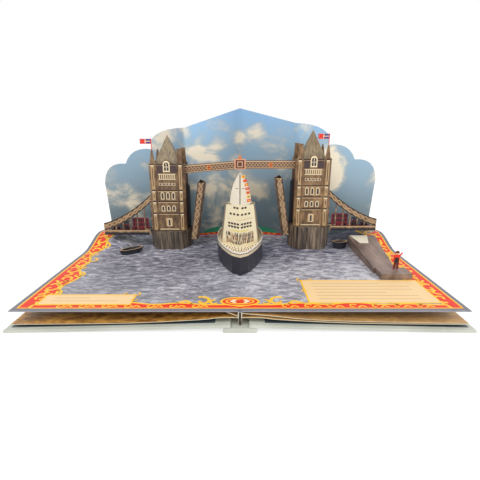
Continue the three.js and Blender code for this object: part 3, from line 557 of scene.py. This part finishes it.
def crosses(low_line, high_line, cells, width):
    """Crossed bars between two lines, each a function of a share from 0 to 1."""
    bars = []
    for i in range(cells):
        a, b = i / cells, (i + 1) / cells
        bars += stroke([low_line(a), high_line(b)], width)
        bars += stroke([high_line(a), low_line(b)], width)
    return bars


def line_through(points):
    """A function of a share that walks along points, left to right at an even rate."""
    def at(share):
        x = points[0][0] + (points[-1][0] - points[0][0]) * share
        for (x0, y0), (x1, y1) in zip(points, points[1:]):
            if x <= x1:
                return x, y0 + (y1 - y0) * (x - x0) / (x1 - x0)
        return points[-1]
    return at


walk_low, walk_high = node_box("walkway")
RIGHT_LIFT = 6.5
WALK_BAND = 10.5
WALK_MEDALS = (0.22, 0.775)


def walkway_prints():
    face = Face((0, walk_low[1], 0), (1, 0, 0), (0, 0, 1))
    left, right = walk_low[0], walk_high[0]
    rise = walk_high[2] - WALK_BAND
    base = [(left, walk_low[2]), (0, rise), (right, walk_low[2] + RIGHT_LIFT)]
    band = lambda offset: line_through([(x, z + offset) for x, z in base])
    lattice = crosses(band(2.6), band(WALK_BAND - 2.6), 34, 0.75)
    ink("walkway_lattice", TAN, lattice, face, lift=0.12)
    rails = []
    for offset, width in ((1.2, 1.0), (WALK_BAND - 0.9, 1.5)):
        rails += stroke([band(offset)(i / 2) for i in range(3)], width)
    ink("walkway_rails", TAN, rails, face)
    spots = [band(WALK_BAND / 2)(share) for share in WALK_MEDALS]
    ink("walkway_medallions", ORANGE, [disc(x, z, 2.9, 8) for x, z in spots], face, lift=0.2)
    ink("walkway_medallion_hearts", MAROON, [disc(x, z, 1.3, 8) for x, z in spots], face, lift=0.28)
    back = Face((0, walk_high[1], 0), (-1, 0, 0), (0, 0, 1))
    mirrored = [[(-x, z) for x, z in bar] for bar in lattice]
    ink("walkway_back_lattice", TAN, mirrored, back, lift=0.12)


walkway_prints()


def crest_prints():
    low = node_box("crest")[0]
    face = Face((0, low[1], low[2]), (1, 0, 0), (0, 0, 1))
    ink("crest_shield", MAROON, [block(-6, 1.2, 6, 12.6)], face)
    ink("crest_frame", TAN, [block(-3.9, 2.8, 3.9, 10.8)], face, lift=0.12)
    ink("crest_heart", MAROON, [block(-2.6, 4.1, 2.6, 9.5)], face, lift=0.2)
    flame = [(-1.6, 14), (1.6, 14), (2.2, 16.2), (0.9, 17.2), (0, 20), (-0.9, 17.2), (-2.2, 16.2)]
    ink("crest_flame", ORANGE, [flame], face)


crest_prints()
print("walkway printed")

# %% [markdown]
# Each side span hangs from a curved chain. Its lattice follows the same curve that the card is cut to, and
# dark and tan bars along the foot make the parapet.

# %% Side spans
CHAIN_BAND = 10.5
CHAIN_FOOT = 17.3
CHAIN_SLOPE = 0.27
CHAIN_CURVE = 0.0045
PARAPET_GAP = 6


def span_prints(side, sign):
    low, high = node_box(f"{side}_span")
    outer = low[0] if sign < 0 else high[0]
    length = high[0] - low[0]
    chain = lambda d: CHAIN_FOOT + d * (CHAIN_SLOPE + d * CHAIN_CURVE)
    for place, y, turn in (("front", low[1], 1), ("back", high[1], -1)):
        face = Face((outer, y, low[2]), (turn, 0, 0), (0, 0, 1))
        way = -turn * sign
        along = lambda offset: (lambda share: (way * share * length, chain(share * length) - offset))
        lattice = crosses(along(CHAIN_BAND - 2), along(2), 9, 0.9)
        ink(f"{side}_chain_{place}_lattice", TAN, lattice, face, lift=0.12)
        edges = []
        for offset in (1, CHAIN_BAND - 1):
            edges += stroke([along(offset)(i / 12) for i in range(13)], 1.4)
        ink(f"{side}_chain_{place}_edges", DARK, edges, face)
        run = length - PARAPET_GAP
        ink(f"{side}_parapet_{place}", NIGHT_CARD, [side_block(way, 0, 0, run, 3.4)], face)
        ink(f"{side}_parapet_{place}_rail", TAN, [side_block(way, 0, 5.2, run, 6.4)], face)


for side, sign in SIDES:
    span_prints(side, sign)
print("spans printed")

# %% [markdown]
# The two halves of the roadway stand open and lean towards the towers. Their fronts carry one more lattice,
# which is drawn along the lean.

# %% Raised leaves
LEAF_LEAN = 13
LEAF_WIDTH = 10.0


def leaf_prints(side, sign):
    low, high = node_box(f"{side}_bridge_leaf")
    foot_x = high[0] if sign > 0 else low[0]
    up = (-sign * LEAF_LEAN, 0, high[2] - low[2])
    face = Face((foot_x, low[1], low[2]), (1, 0, 0), up)
    near = -sign * LEAF_WIDTH
    slope = Vector(up).length
    left_line = lambda share: (near * 0.82, share * slope)
    right_line = lambda share: (near * 0.18, share * slope)
    ink(f"{side}_leaf_lattice", TAN, crosses(left_line, right_line, 9, 0.9), face, lift=0.25)
    edges = stroke([(near * 0.94, 0.5), (near * 0.94, slope - 0.5)], 1.0)
    edges += stroke([(near * 0.07, 0.5), (near * 0.07, slope - 0.5)], 1.0)
    ink(f"{side}_leaf_edges", DARK, edges, face, lift=0.15)


for side, sign in SIDES:
    leaf_prints(side, sign)
print("raised leaves printed")

# %% [markdown]
# The hull is one folded card, black below and white along the bulwark, with cream and dark lines between. The
# deck house has cream fronts, and its side walls are a darker brown that is painted shade. Height and the way
# a wall faces part these fields of colour.
# A seeded draw sets out the crowd.

# %% Ship cards
BULWARK = 43.6 * MM
BULWARK_REACH = 0.01
HULL_BANDS = [(0.0, "#26272f"), (0.5, "#dccaa9"), (0.66, "#4a3a30"), (0.71, "#f4ecdc")]
SIDE_WALL = 0.8


def hull_print():
    finish, tree, shader = new_finish("coated_card_black_hull_white_bulwark", 0.3)
    place = add_node(tree, "ShaderNodeTexCoord").outputs["Object"]
    height = add_node(tree, "ShaderNodeSeparateXYZ", {0: place}).outputs["Z"]
    bands = add_node(tree, "ShaderNodeMapRange", {"Value": height, "From Min": BULWARK - BULWARK_REACH,
                                                  "From Max": BULWARK + BULWARK_REACH})
    ramp = add_node(tree, "ShaderNodeValToRGB", {"Fac": bands.outputs[0]})
    ramp.color_ramp.interpolation = "CONSTANT"
    fill_ramp(ramp, HULL_BANDS)
    tree.links.new(ramp.outputs[0], shader.inputs["Base Color"])
    return finish


def house_print():
    finish, tree, shader = new_finish("coated_card_cream_front_painted_shade_brown_side", 0.5)
    facing = add_node(tree, "ShaderNodeNewGeometry").outputs["Normal"]
    sideways = add_node(tree, "ShaderNodeSeparateXYZ", {0: facing}).outputs["X"]
    wide = add_node(tree, "ShaderNodeMath", {0: sideways}, operation="ABSOLUTE")
    # Walls that face sideways get a darker brown: painted shade.
    is_painted_shade_side = add_node(tree, "ShaderNodeMath", {0: wide.outputs[0], 1: SIDE_WALL}, operation="GREATER_THAN")
    mix = add_node(tree, "ShaderNodeMix", {0: is_painted_shade_side.outputs[0], 6: linear("#e8dcb9"), 7: linear("#a3927b")},
                   data_type="RGBA")
    tree.links.new(mix.outputs[2], shader.inputs["Base Color"])
    return finish


wear("ship_hull", hull_print())
wear("ship_house", house_print())
house_low = node_box("ship_house")[0]
HOUSE_FOLD = (0.0, house_low[1], house_low[2])
HOUSE_RUN = (23.8, 19.0)
HOUSE_RAKE = (0, 6, 52)
HOUSE_WINDOWS = ((47.2, (2.4, 7.4)), (39, (1.6, 7.6, 13.8)), (26.8, (1.6, 6.4, 11.2, 16)),
                 (22.8, (1.6, 6.4, 11.2, 16)))
PANE_WIDTH = 3.6
PANE_HEIGHT = 2.4
PALE_YELLOW = plain_ink("pale_yellow_ink", "#e4d17a")
CROWD_INKS = (("dark", DARK), ("maroon", MAROON), ("brick", BRICK), ("grey", GREY_LINE),
              ("purple", PURPLE_BROWN))
CROWD_ROWS = 3
CROWD_PLACES = 11
DECK_ROWS = 6
DECK_PLACES = 12
chance = random.Random(7)


def house_prints():
    for side, sign in SIDES:
        right = (HOUSE_RUN[0], sign * HOUSE_RUN[1], 0)
        face = Face(HOUSE_FOLD, right, HOUSE_RAKE, surface_of("ship_house"))
        panes = [side_block(sign, start, high, start + PANE_WIDTH, high + PANE_HEIGHT)
                 for high, starts in HOUSE_WINDOWS for start in starts]
        ink(f"ship_house_{side}_panes", DARK, panes, face, lift=0.1)
        deck_line = side_block(sign, 0.6, 33.6, 21, 34)
        ink(f"ship_house_{side}_deck_lines", GREY_LINE, [deck_line], face, lift=0.1)
        ink(f"ship_house_{side}_awning", PALE_YELLOW, [side_block(sign, 0.6, 18.4, 15, 20)], face, lift=0.1)
        people = {label: [] for label, _ in CROWD_INKS}
        for row in range(CROWD_ROWS):
            for i in range(CROWD_PLACES):
                x = sign * (1.2 + i * 2.1 + chance.uniform(-0.6, 0.6))
                base = 2.4 + 4.6 * row + chance.uniform(-0.8, 0.8)
                tall = chance.uniform(3.2, 4.4)
                lean = chance.uniform(-0.5, 0.5)
                label = chance.choice(CROWD_INKS)[0]
                people[label].append([(x - 0.75, base), (x + 0.75, base), (x + lean + 0.5, base + tall),
                                      (x + lean - 0.5, base + tall)])
                people[label].append(disc(x + lean, base + tall + 0.6, 0.6, 6))
        for label, finish in CROWD_INKS:
            ink(f"ship_crowd_{side}_{label}", finish, people[label], face, lift=0.1)


house_prints()
deck_low, deck_high = node_box("ship_deck")
deck_face = Face((0, 0, deck_high[2]), (1, 0, 0), (0, 1, 0))
for k, (label, finish) in enumerate(CROWD_INKS):
    heads = []
    for i in range(k, DECK_ROWS * DECK_PLACES, len(CROWD_INKS)):
        row, place = divmod(i, DECK_PLACES)
        x = (place - (DECK_PLACES - 1) / 2) * (0.8 + 0.75 * row)
        y = deck_low[1] + 6 + 5 * row + abs(x) * 0.75
        heads.append([(x - 0.8, y), (x + 0.8, y), (x + 0.5, y + 3.6), (x - 0.5, y + 3.6)])
    ink(f"deck_crowd_{label}", finish, heads, deck_face)
print("ship printed")

# %% [markdown]
# The rigging is a white sail that is folded down its middle. A mast line runs down the fold, a yard crosses
# it, and a string of small signal flags hangs along the right-hand edge in plain colours.

# %% Rigging
WING_BACK = 15.68
WING_OUT = 17.6
WING_SLOPE = math.atan2(WING_BACK, WING_OUT)
SAIL_EDGE = 18.2
SIGNAL_PITCH = 5.1
SIGNALS = ((RED, GOLD), (GOLD, GREEN), (ORANGE, RED), (RED, BLUSH), (ORANGE, GOLD), (RED, ORANGE),
           (GOLD, RED))


def rigging_prints():
    rig_low = node_box("ship_rigging")[0]
    for side, sign in SIDES:
        right = (math.cos(WING_SLOPE), sign * math.sin(WING_SLOPE), 0)
        face = Face((0, rig_low[1], rig_low[2]), right, (0, 0, 1), surface_of("ship_rigging"))
        mast = side_block(sign, 0, 11, 0.55, 48)
        yard = side_block(sign, 0, 30, 7.5, 30.6)
        ink(f"rigging_{side}_mast", DARK, [mast, yard], face, lift=0.12)
    for i, (first, second) in enumerate(SIGNALS):
        high = 12.5 + i * SIGNAL_PITCH
        edge = SAIL_EDGE * math.cos((i + 1.3) / 8.4 * math.pi / 2) ** 0.5
        ink(f"signal_flag_{i}", first, [block(edge - 6, high, edge, high + 3.4)], face, lift=0.15)
        spot = block(edge - 4.4, high + 0.9, edge - 1.8, high + 2.5)
        ink(f"signal_flag_{i}_spot", second, [spot], face, lift=0.24)


rigging_prints()
print("rigging printed")

# %% [markdown]
# The open spread is framed by a scarlet band with yellow scrollwork, a common border on story books. It is
# drawn flat and pressed onto the page, so it climbs the curled far corners. Scrolls are plain spirals.

# %% Page border
PAGE_X = 220
PAGE_Y = 144
PAGE_TOP = 21.5
MARGIN = 4.5
RIM = 0.4
FRONT_BAND_END = 203
BACK_BAND_END = 184
STEP = 4
SCROLL_STEPS = 14
SCROLL_HEART = 0.18
MEDALLION_RISE = 19
MEDALLION = (("edge", GOLD, 20, 0.5, 0.2), ("red", RED, 17.6, 0.46, 0.28),
             ("ring", GOLD, 14.5, 0.44, 0.36), ("heart", RED, 12.6, 0.4, 0.44))
page_face = Face((0, 0, PAGE_TOP), (1, 0, 0), (0, 1, 0), surface_of("pages"))


def band_between(xs, low_edge, high_edge):
    """Quads between two curves over stations."""
    return [[(a, low_edge(a)), (b, low_edge(b)), (b, high_edge(b)), (a, high_edge(a))]
            for a, b in zip(xs, xs[1:])]


def stations(start, end, step=STEP):
    count = max(1, round(abs(end - start) / step))
    return [start + (end - start) * i / count for i in range(count + 1)]


def spiral(x, y, radius, turn, start, direction):
    """A scroll that winds in from its outside."""
    points = []
    for i in range(SCROLL_STEPS + 1):
        share = i / SCROLL_STEPS
        angle = start + direction * turn * share
        reach = radius * (1 - (1 - SCROLL_HEART) * share)
        points.append((x + reach * math.cos(angle), y + reach * math.sin(angle)))
    return points


# The edges of the bands: waves that widen at the front panels and at the far corners.
FRONT_LOW = -PAGE_Y + MARGIN
SIDE_OUT = PAGE_X - MARGIN
BACK_HIGH = PAGE_Y - MARGIN
front_high = lambda x: (-PAGE_Y + 12 + 5.5 * math.exp(-((abs(x) - 100) / 70) ** 2)
                        * (0.6 + 0.4 * math.cos(x / 9)))
side_in = lambda y: (PAGE_X - 24 + 5.5 * math.sin((y + 30) / 26) - 6 * max(0, (y - 60) / 80)
                     + 3.2 * math.sin(y / 8))
back_low = lambda x: PAGE_Y - 22 + 3 * math.sin(x / 8)


def page_border():
    red, gold = [], []
    xs = stations(-FRONT_BAND_END, FRONT_BAND_END)
    red += band_between(xs, lambda x: FRONT_LOW, front_high)
    gold += stroke([(x, front_high(x)) for x in xs], 2.2)
    gold += stroke([(x, FRONT_LOW + 0.9) for x in stations(-SIDE_OUT, SIDE_OUT)], 1.3)
    xs = stations(-BACK_BAND_END, BACK_BAND_END)
    red += band_between(xs, back_low, lambda x: BACK_HIGH)
    gold += stroke([(x, back_low(x)) for x in xs], 1.4)
    ys = stations(FRONT_LOW, BACK_HIGH)
    for _, sign in SIDES:
        for a, b in zip(ys, ys[1:]):
            red.append(mirrored([(side_in(a), a), (SIDE_OUT, a), (SIDE_OUT, b), (side_in(b), b)], sign))
        gold += stroke([(sign * side_in(y), y) for y in ys], 3)
        gold += stroke([(sign * (SIDE_OUT - 1), y) for y in ys], 1.6)
        for i, y in enumerate(range(-118, 132, 25)):
            middle = (side_in(y) + SIDE_OUT) / 2
            twist = 1 if i % 2 else -1
            gold += stroke(spiral(sign * middle, y, 9.5, 5.6, 1.4 * twist, sign * twist), 2.9)
            gold += stroke(spiral(sign * (middle - 10), y + 11, 8.5, 5.2, math.pi / 2, -sign * twist), 3)
            leaf = ((middle + 5, y + 8), (middle - 2, y + 14), (middle + 4, y + 20))
            gold += stroke([(sign * x, high) for x, high in leaf], 2.8)
    for _, sign in SIDES:
        for i in range(7):
            x = sign * (44 + i * 22)
            gold += stroke(spiral(x, FRONT_LOW + 5.2, 4.2, 5.4, 0.4, sign), 1.6)
            gold += stroke([(x + 5, FRONT_LOW + 3), (x + 9, FRONT_LOW + 6.2), (x + 13, FRONT_LOW + 3.4)], 1.7)
        gold += stroke(spiral(sign * 38, -PAGE_Y + 20, 10, 5.4, math.pi / 2 - sign * 0.5, sign), 3.4)
        gold += stroke(spiral(sign * 25, -PAGE_Y + 17, 6, 4.6, math.pi / 2, -sign), 2.6)
        gold += stroke([(sign * 47, -PAGE_Y + 14), (sign * 54, -PAGE_Y + 21), (sign * 64, -PAGE_Y + 15)], 3)
    ink("page_border_red", RED, red, page_face)
    rim = [block(-PAGE_X + RIM, -PAGE_Y + RIM, PAGE_X - RIM, FRONT_LOW)]
    rim += [side_block(sign, SIDE_OUT, a, PAGE_X - RIM, b) for _, sign in SIDES for a, b in zip(ys, ys[1:])]
    ink("page_rim", plain_ink("rim_grey_ink", "#74737c"), rim, page_face)
    ink("page_border_gold", GOLD, gold, page_face, lift=0.12)
    middle = -PAGE_Y + MEDALLION_RISE
    for label, finish, reach, squash, lift in MEDALLION:
        ink(f"page_medallion_{label}", finish, [disc(0, middle, reach, 24, squash)], page_face, lift=lift)
    petals = [disc(8 * math.cos(math.pi * i / 4), middle + 3 * math.sin(math.pi * i / 4), 2.2, 8, 0.7)
              for i in range(8)]
    ink("page_medallion_petals", CREAM, petals + [disc(0, middle, 2.2, 8, 0.7)], page_face, lift=0.52)


page_border()
print("border drawn")

# %% [markdown]
# Two cream panels sit at the reader's edge. They carry only faint rules, like a space for words, and a few
# curls at their ends.

# %% Page panels
PANELS = {"left": (-199, -130.5, -109, -111, 2), "right": (70, -127, 199, -74, 6)}
PANEL_EDGE = 1.8


def panel_prints():
    for side, (left, low, right, high, rows) in PANELS.items():
        edge = block(left - PANEL_EDGE, low - PANEL_EDGE, right + PANEL_EDGE, high + PANEL_EDGE)
        ink(f"{side}_panel_edge", GOLD, [edge], page_face, lift=0.2)
        ink(f"{side}_panel", PANEL_CREAM, [block(left, low, right, high)], page_face, lift=0.28)
        curls = []
        for x, inward in ((left, 1), (right, -1)):
            curls += stroke(spiral(x - inward * 1.5, high + 1.5, 4.6, 5.2, math.pi / 2, inward), 1.6)
            curls += stroke(spiral(x + inward * 9, high + 2, 3.4, 5.0, math.pi / 2, -inward), 1.4)
            curls += stroke(spiral(x - inward * 2, (low + high) / 2, 3.6, 5.0, 0, inward), 1.4)
        ink(f"{side}_panel_curls", GOLD, curls, page_face, lift=0.36)
        rules = []
        for i in range(rows):
            y = high - (high - low) * (i + 1) / (rows + 1)
            end = right - 14 if i % 3 else right - 44
            rules.append(block(left + 10, y - 0.35, end, y + 0.35))
        ink(f"{side}_panel_rules", GREY_LINE, rules, page_face, lift=0.36)


panel_prints()
print("panels drawn")

# %% [markdown]
# Wave crests are short curved strokes, pale or deep, spread over the water print. At the foot of the sky a
# green bank and a red quay line with yellow sparks show on both sides of the middle fold.

# %% Water and banks
CRESTS = 520
BANK = ((2, 0.6), (64, 0.6), (58, 7.5), (46, 12), (26, 14), (2, 15))
QUAY = ((2, 0.5), (68, 0.5), (66, 3.8), (2, 5.2))


def crest_strokes():
    """Short arcs that uneven steps spread over the water. Every third one is deep, the others pale."""
    pale, deep = [], []
    for i in range(CRESTS):
        x = -195 + (i * 61.8) % 390
        y = -112 + (i * 37.3) % 215
        size = 2 + (i * 13) % 5
        arc = [(x - size, y), (x - size / 3, y + 1.1), (x + size / 2, y + 0.8), (x + size, y - 0.5)]
        (pale if i % 3 else deep).extend(stroke(arc, 0.75))
    return pale, deep


pale_waves, deep_waves = crest_strokes()
ink("wave_crests_pale", plain_ink("pale_water_ink", "#c6c4cc"), pale_waves, page_face, lift=0.03)
ink("wave_crests_deep", plain_ink("deep_water_ink", "#4a4b66"), deep_waves, page_face, lift=0.03)
sky_face = Face((0, 90, PAGE_TOP), (1, 0, 0), (0, 0, 1), surface_of("sky_backdrop"))
ink("green_bank", GREEN, [mirrored(BANK, sign) for _, sign in SIDES], sky_face, lift=0.2)
ink("quay_line", RED, [mirrored(QUAY, sign) for _, sign in SIDES], sky_face, lift=0.3)
sparks = [block(x, 2.2, x + 4.5, 3.2) for x in range(-63, 62, 9) if abs(x) > 8]
ink("quay_sparks", GOLD, sparks, sky_face, lift=0.4)
print("water and banks drawn")

# %% [markdown]
# The traffic is cut from one red strip. Dark panes and wheels, and a dark lower car, part it into vehicles.

# %% Traffic


def traffic_prints(side, sign):
    low, high = node_box(f"{side}_traffic")
    for place, y, turn in (("front", low[1], 1), ("back", high[1], -1)):
        face = Face((high[0] if sign < 0 else low[0], y, low[2]), (turn, 0, 0), (0, 0, 1))
        way = turn * sign
        area = lambda start, foot, end, top: side_block(way, start, foot, end, top)
        panes = [area(4 + 3.6 * i, base, 6.6 + 3.6 * i, base + 3.2) for i in range(6) for base in (6.4, 12.4)]
        panes += [area(33, 4.6, 36, 6.8), area(37, 4.6, 40, 6.8), area(46.5, 3, 50, 4.8)]
        ink(f"{side}_traffic_{place}_panes", NIGHT_CARD, panes, face)
        dark = [area(31, 1.5, 41, 4.4), area(45, 1.5, 55, 2.9)]
        ink(f"{side}_traffic_{place}_bodies", PURPLE_BROWN, dark, face)
        wheels = [disc(way * d, 2, 1.7, 8) for d in (6, 22, 33.5, 39, 47, 53)]
        ink(f"{side}_traffic_{place}_wheels", NIGHT_CARD, wheels, face, lift=0.13)


for side, sign in SIDES:
    traffic_prints(side, sign)
print("traffic printed")

# %% [markdown]
# Small cards get the marks that make them readable: a cross of colours on the pole flags, a tan rim
# on the boats, and a face, hair and trousers on the child.

# %% Small prints
FLAG_DROP = 7
BOAT_RIM = ((-1, 0), (-0.6, -0.72), (0, -1), (0.6, -0.8), (1, 0))
TROUSERS = [(-3, 0.2), (-0.7, 0.2), (0, 6.6), (0.7, 0.2), (3, 0.2), (2.8, 8), (-2.8, 8)]


def flag_prints(side):
    low, high = node_box(f"{side}_flag")
    face = Face((low[0], low[1], high[2] - FLAG_DROP), (1, 0, 0), (0, 0, 1), surface_of(f"{side}_flag"))
    fields = [block(start, foot, end, top) for foot, top in ((0.7, 2.6), (4.2, 6.2))
              for start, end in ((0.4, 6.2), (8.4, 14.4))]
    ink(f"{side}_flag_field", BLUE, fields, face, lift=0.1)
    bars = stroke([(0.4, 3.4), (14.4, 3.4)], 0.8) + stroke([(7.3, 0.7), (7.3, 6.2)], 0.8)
    ink(f"{side}_flag_bars", CREAM, bars, face, lift=0.18)


def boat_prints(name, turn, half_length, half_beam):
    low, high = node_box(name)
    middle = ((low[0] + high[0]) / 2, (low[1] + high[1]) / 2, high[2])
    face = Face(middle, (math.cos(turn), math.sin(turn), 0), (-math.sin(turn), math.cos(turn), 0))
    rim = [(x * half_length, y * half_beam) for x, y in BOAT_RIM]
    ring = rim + [(x, -y) for x, y in reversed(rim[:-1])]
    ink(f"{name}_rim", TAN, stroke(ring, 1.3), face)


def child_prints():
    low, high = node_box("waving_child")
    tall = high[2] - low[2]
    face = Face(((low[0] + high[0]) / 2 - 0.9, low[1], low[2]), (1, 0, 0), (0, 0, 1))
    ink("child_trousers", MAROON, [TROUSERS], face)
    ink("child_coat", NIGHT_CARD, [[(-2.9, 8), (2.9, 8), (2.2, 14.2), (-2.2, 14.2)]], face, lift=0.1)
    ink("child_face", plain_ink("skin_ink", "#d9a27c"), [disc(0, tall * 0.87, 2.1, 12)], face)
    ink("child_hair", DARK, [[(-2.4, tall * 0.88), (2.4, tall * 0.88), (1.8, tall * 0.97), (0, tall * 0.99),
                              (-1.8, tall * 0.97)]], face, lift=0.12)


for side, _ in SIDES:
    flag_prints(side)
boat_prints("rowing_boat", 0.7, 17.2, 6.8)
boat_prints("ferry_boat", 0.15, 11.4, 5.3)
child_prints()
print("small prints done")

# %% [markdown]
# Inside the covers a dark lining paper shows under the leaves. A narrow dark sheet in the gutter's slot is
# painted shade.

# %% Linings


def slab(name, finish, low, high, body):
    """A thin plain sheet between two corners in mm."""
    mesh = bmesh.new()
    made = bmesh.ops.create_cube(mesh, size=1)["verts"]
    size = [(b - a) * MM for a, b in zip(low, high)]
    bmesh.ops.scale(mesh, vec=size, verts=made)
    bmesh.ops.translate(mesh, vec=[(a + b) / 2 * MM for a, b in zip(low, high)], verts=made)
    piece = new_object(name, mesh, finish)
    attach(piece, body)


slab("gutter_painted_shade", DARK, (-1.0, -143.2, 6), (1.0, -142.9, 20.4), "spread")
for side, sign in SIDES:
    lining = Face((0, 0, 0), (1, 0, 0), (0, 1, 0), surface_of(f"{side}_cover"))
    edges = stations(sign * 24, sign * 221, 40)
    strips = [block(min(a, b), -143, max(a, b), 143) for a, b in zip(edges, edges[1:])]
    paper = plain_ink(f"{side}_lining_paper", "#4d5863")
    ink(f"{side}_lining", paper, strips, lining, body=f"{side}_cover_body")
print("linings laid")

# %% [markdown]
# The floor is a plain pale sheet. To the camera it is half see-through and glows a little, so it stays pure
# white under the book and still catches a faint shade.

# %% Stage
FLOOR_REACH = 6
FLOOR_GLOW = 0.42
floor_mesh = bmesh.new()
bmesh.ops.create_grid(floor_mesh, x_segments=1, y_segments=1, size=FLOOR_REACH)
studio = bpy.data.materials.new("studio_white")
floor = new_object("studio_floor", floor_mesh, studio)
studio.use_nodes = True
studio.node_tree.nodes.clear()
tree = studio.node_tree
matt = add_node(tree, "ShaderNodeBsdfDiffuse", {"Color": linear("#f4f4f2")})
glow = add_node(tree, "ShaderNodeEmission", {"Color": (1, 1, 1, 1), "Strength": FLOOR_GLOW})
lit = add_node(tree, "ShaderNodeAddShader", {0: matt.outputs[0], 1: glow.outputs[0]})
clear = add_node(tree, "ShaderNodeBsdfTransparent")
seen = add_node(tree, "ShaderNodeMixShader", {0: 0.5, 1: lit.outputs[0], 2: clear.outputs[0]})
ray = add_node(tree, "ShaderNodeLightPath").outputs["Is Camera Ray"]
either = add_node(tree, "ShaderNodeMixShader", {0: ray, 1: matt.outputs[0], 2: seen.outputs[0]})
add_node(tree, "ShaderNodeOutputMaterial", {0: either.outputs[0]})
print("floor laid")

# %% [markdown]
# The camera stands in front of the reader's edge at the photo's height and tilt. Its focal length is given in
# picture elements of a 480 wide picture. Two large soft boxes and a white surround give even light.

# %% Camera and lights
PHOTO_WIDTH = 480
FOCAL_PIXELS = 350
SENSOR = 36
EYE_DISTANCE = 297.2
EYE_HEIGHT = 162.1
EYE_TILT = 17.15
camera_data = bpy.data.cameras.new("photo_camera")
camera_data.sensor_width = SENSOR
camera_data.lens = SENSOR * FOCAL_PIXELS / PHOTO_WIDTH
camera = bpy.data.objects.new("photo_camera", camera_data)
camera.location = (0, (-PAGE_Y - EYE_DISTANCE) * MM, (PAGE_TOP + EYE_HEIGHT) * MM)
camera.rotation_euler = (math.radians(90 - EYE_TILT), 0, 0)
bpy.context.collection.objects.link(camera)
bpy.context.scene.camera = camera


def soft_box(name, place, target, size, power):
    data = bpy.data.lights.new(name, "AREA")
    data.size = size
    data.energy = power
    lamp = bpy.data.objects.new(name, data)
    lamp.location = place
    aim = Vector(target) - Vector(place)
    lamp.rotation_euler = aim.to_track_quat("-Z", "Y").to_euler()
    bpy.context.collection.objects.link(lamp)


BOOK_MIDDLE = (0, 0, 0.08)
soft_box("key_softbox", (-0.5, -0.9, 1.3), BOOK_MIDDLE, 0.9, 11)
soft_box("fill_softbox", (0.9, -0.8, 0.8), BOOK_MIDDLE, 0.9, 5)
world = bpy.data.worlds.new("studio_world")
bpy.context.scene.world = world
world.use_nodes = True
background = world.node_tree.nodes["Background"]
tree = world.node_tree
rays = add_node(tree, "ShaderNodeLightPath").outputs
either = add_node(tree, "ShaderNodeMath", {0: rays["Is Camera Ray"], 1: rays["Is Glossy Ray"]},
                  operation="MAXIMUM")
level = add_node(tree, "ShaderNodeMapRange", {"Value": either.outputs[0], "To Min": 0.75, "To Max": 1.0})
tree.links.new(level.outputs[0], background.inputs["Strength"])
background.inputs["Color"].default_value = (1, 1, 1, 1)
bpy.context.scene.view_settings.view_transform = "Standard"
print("camera and lights placed")
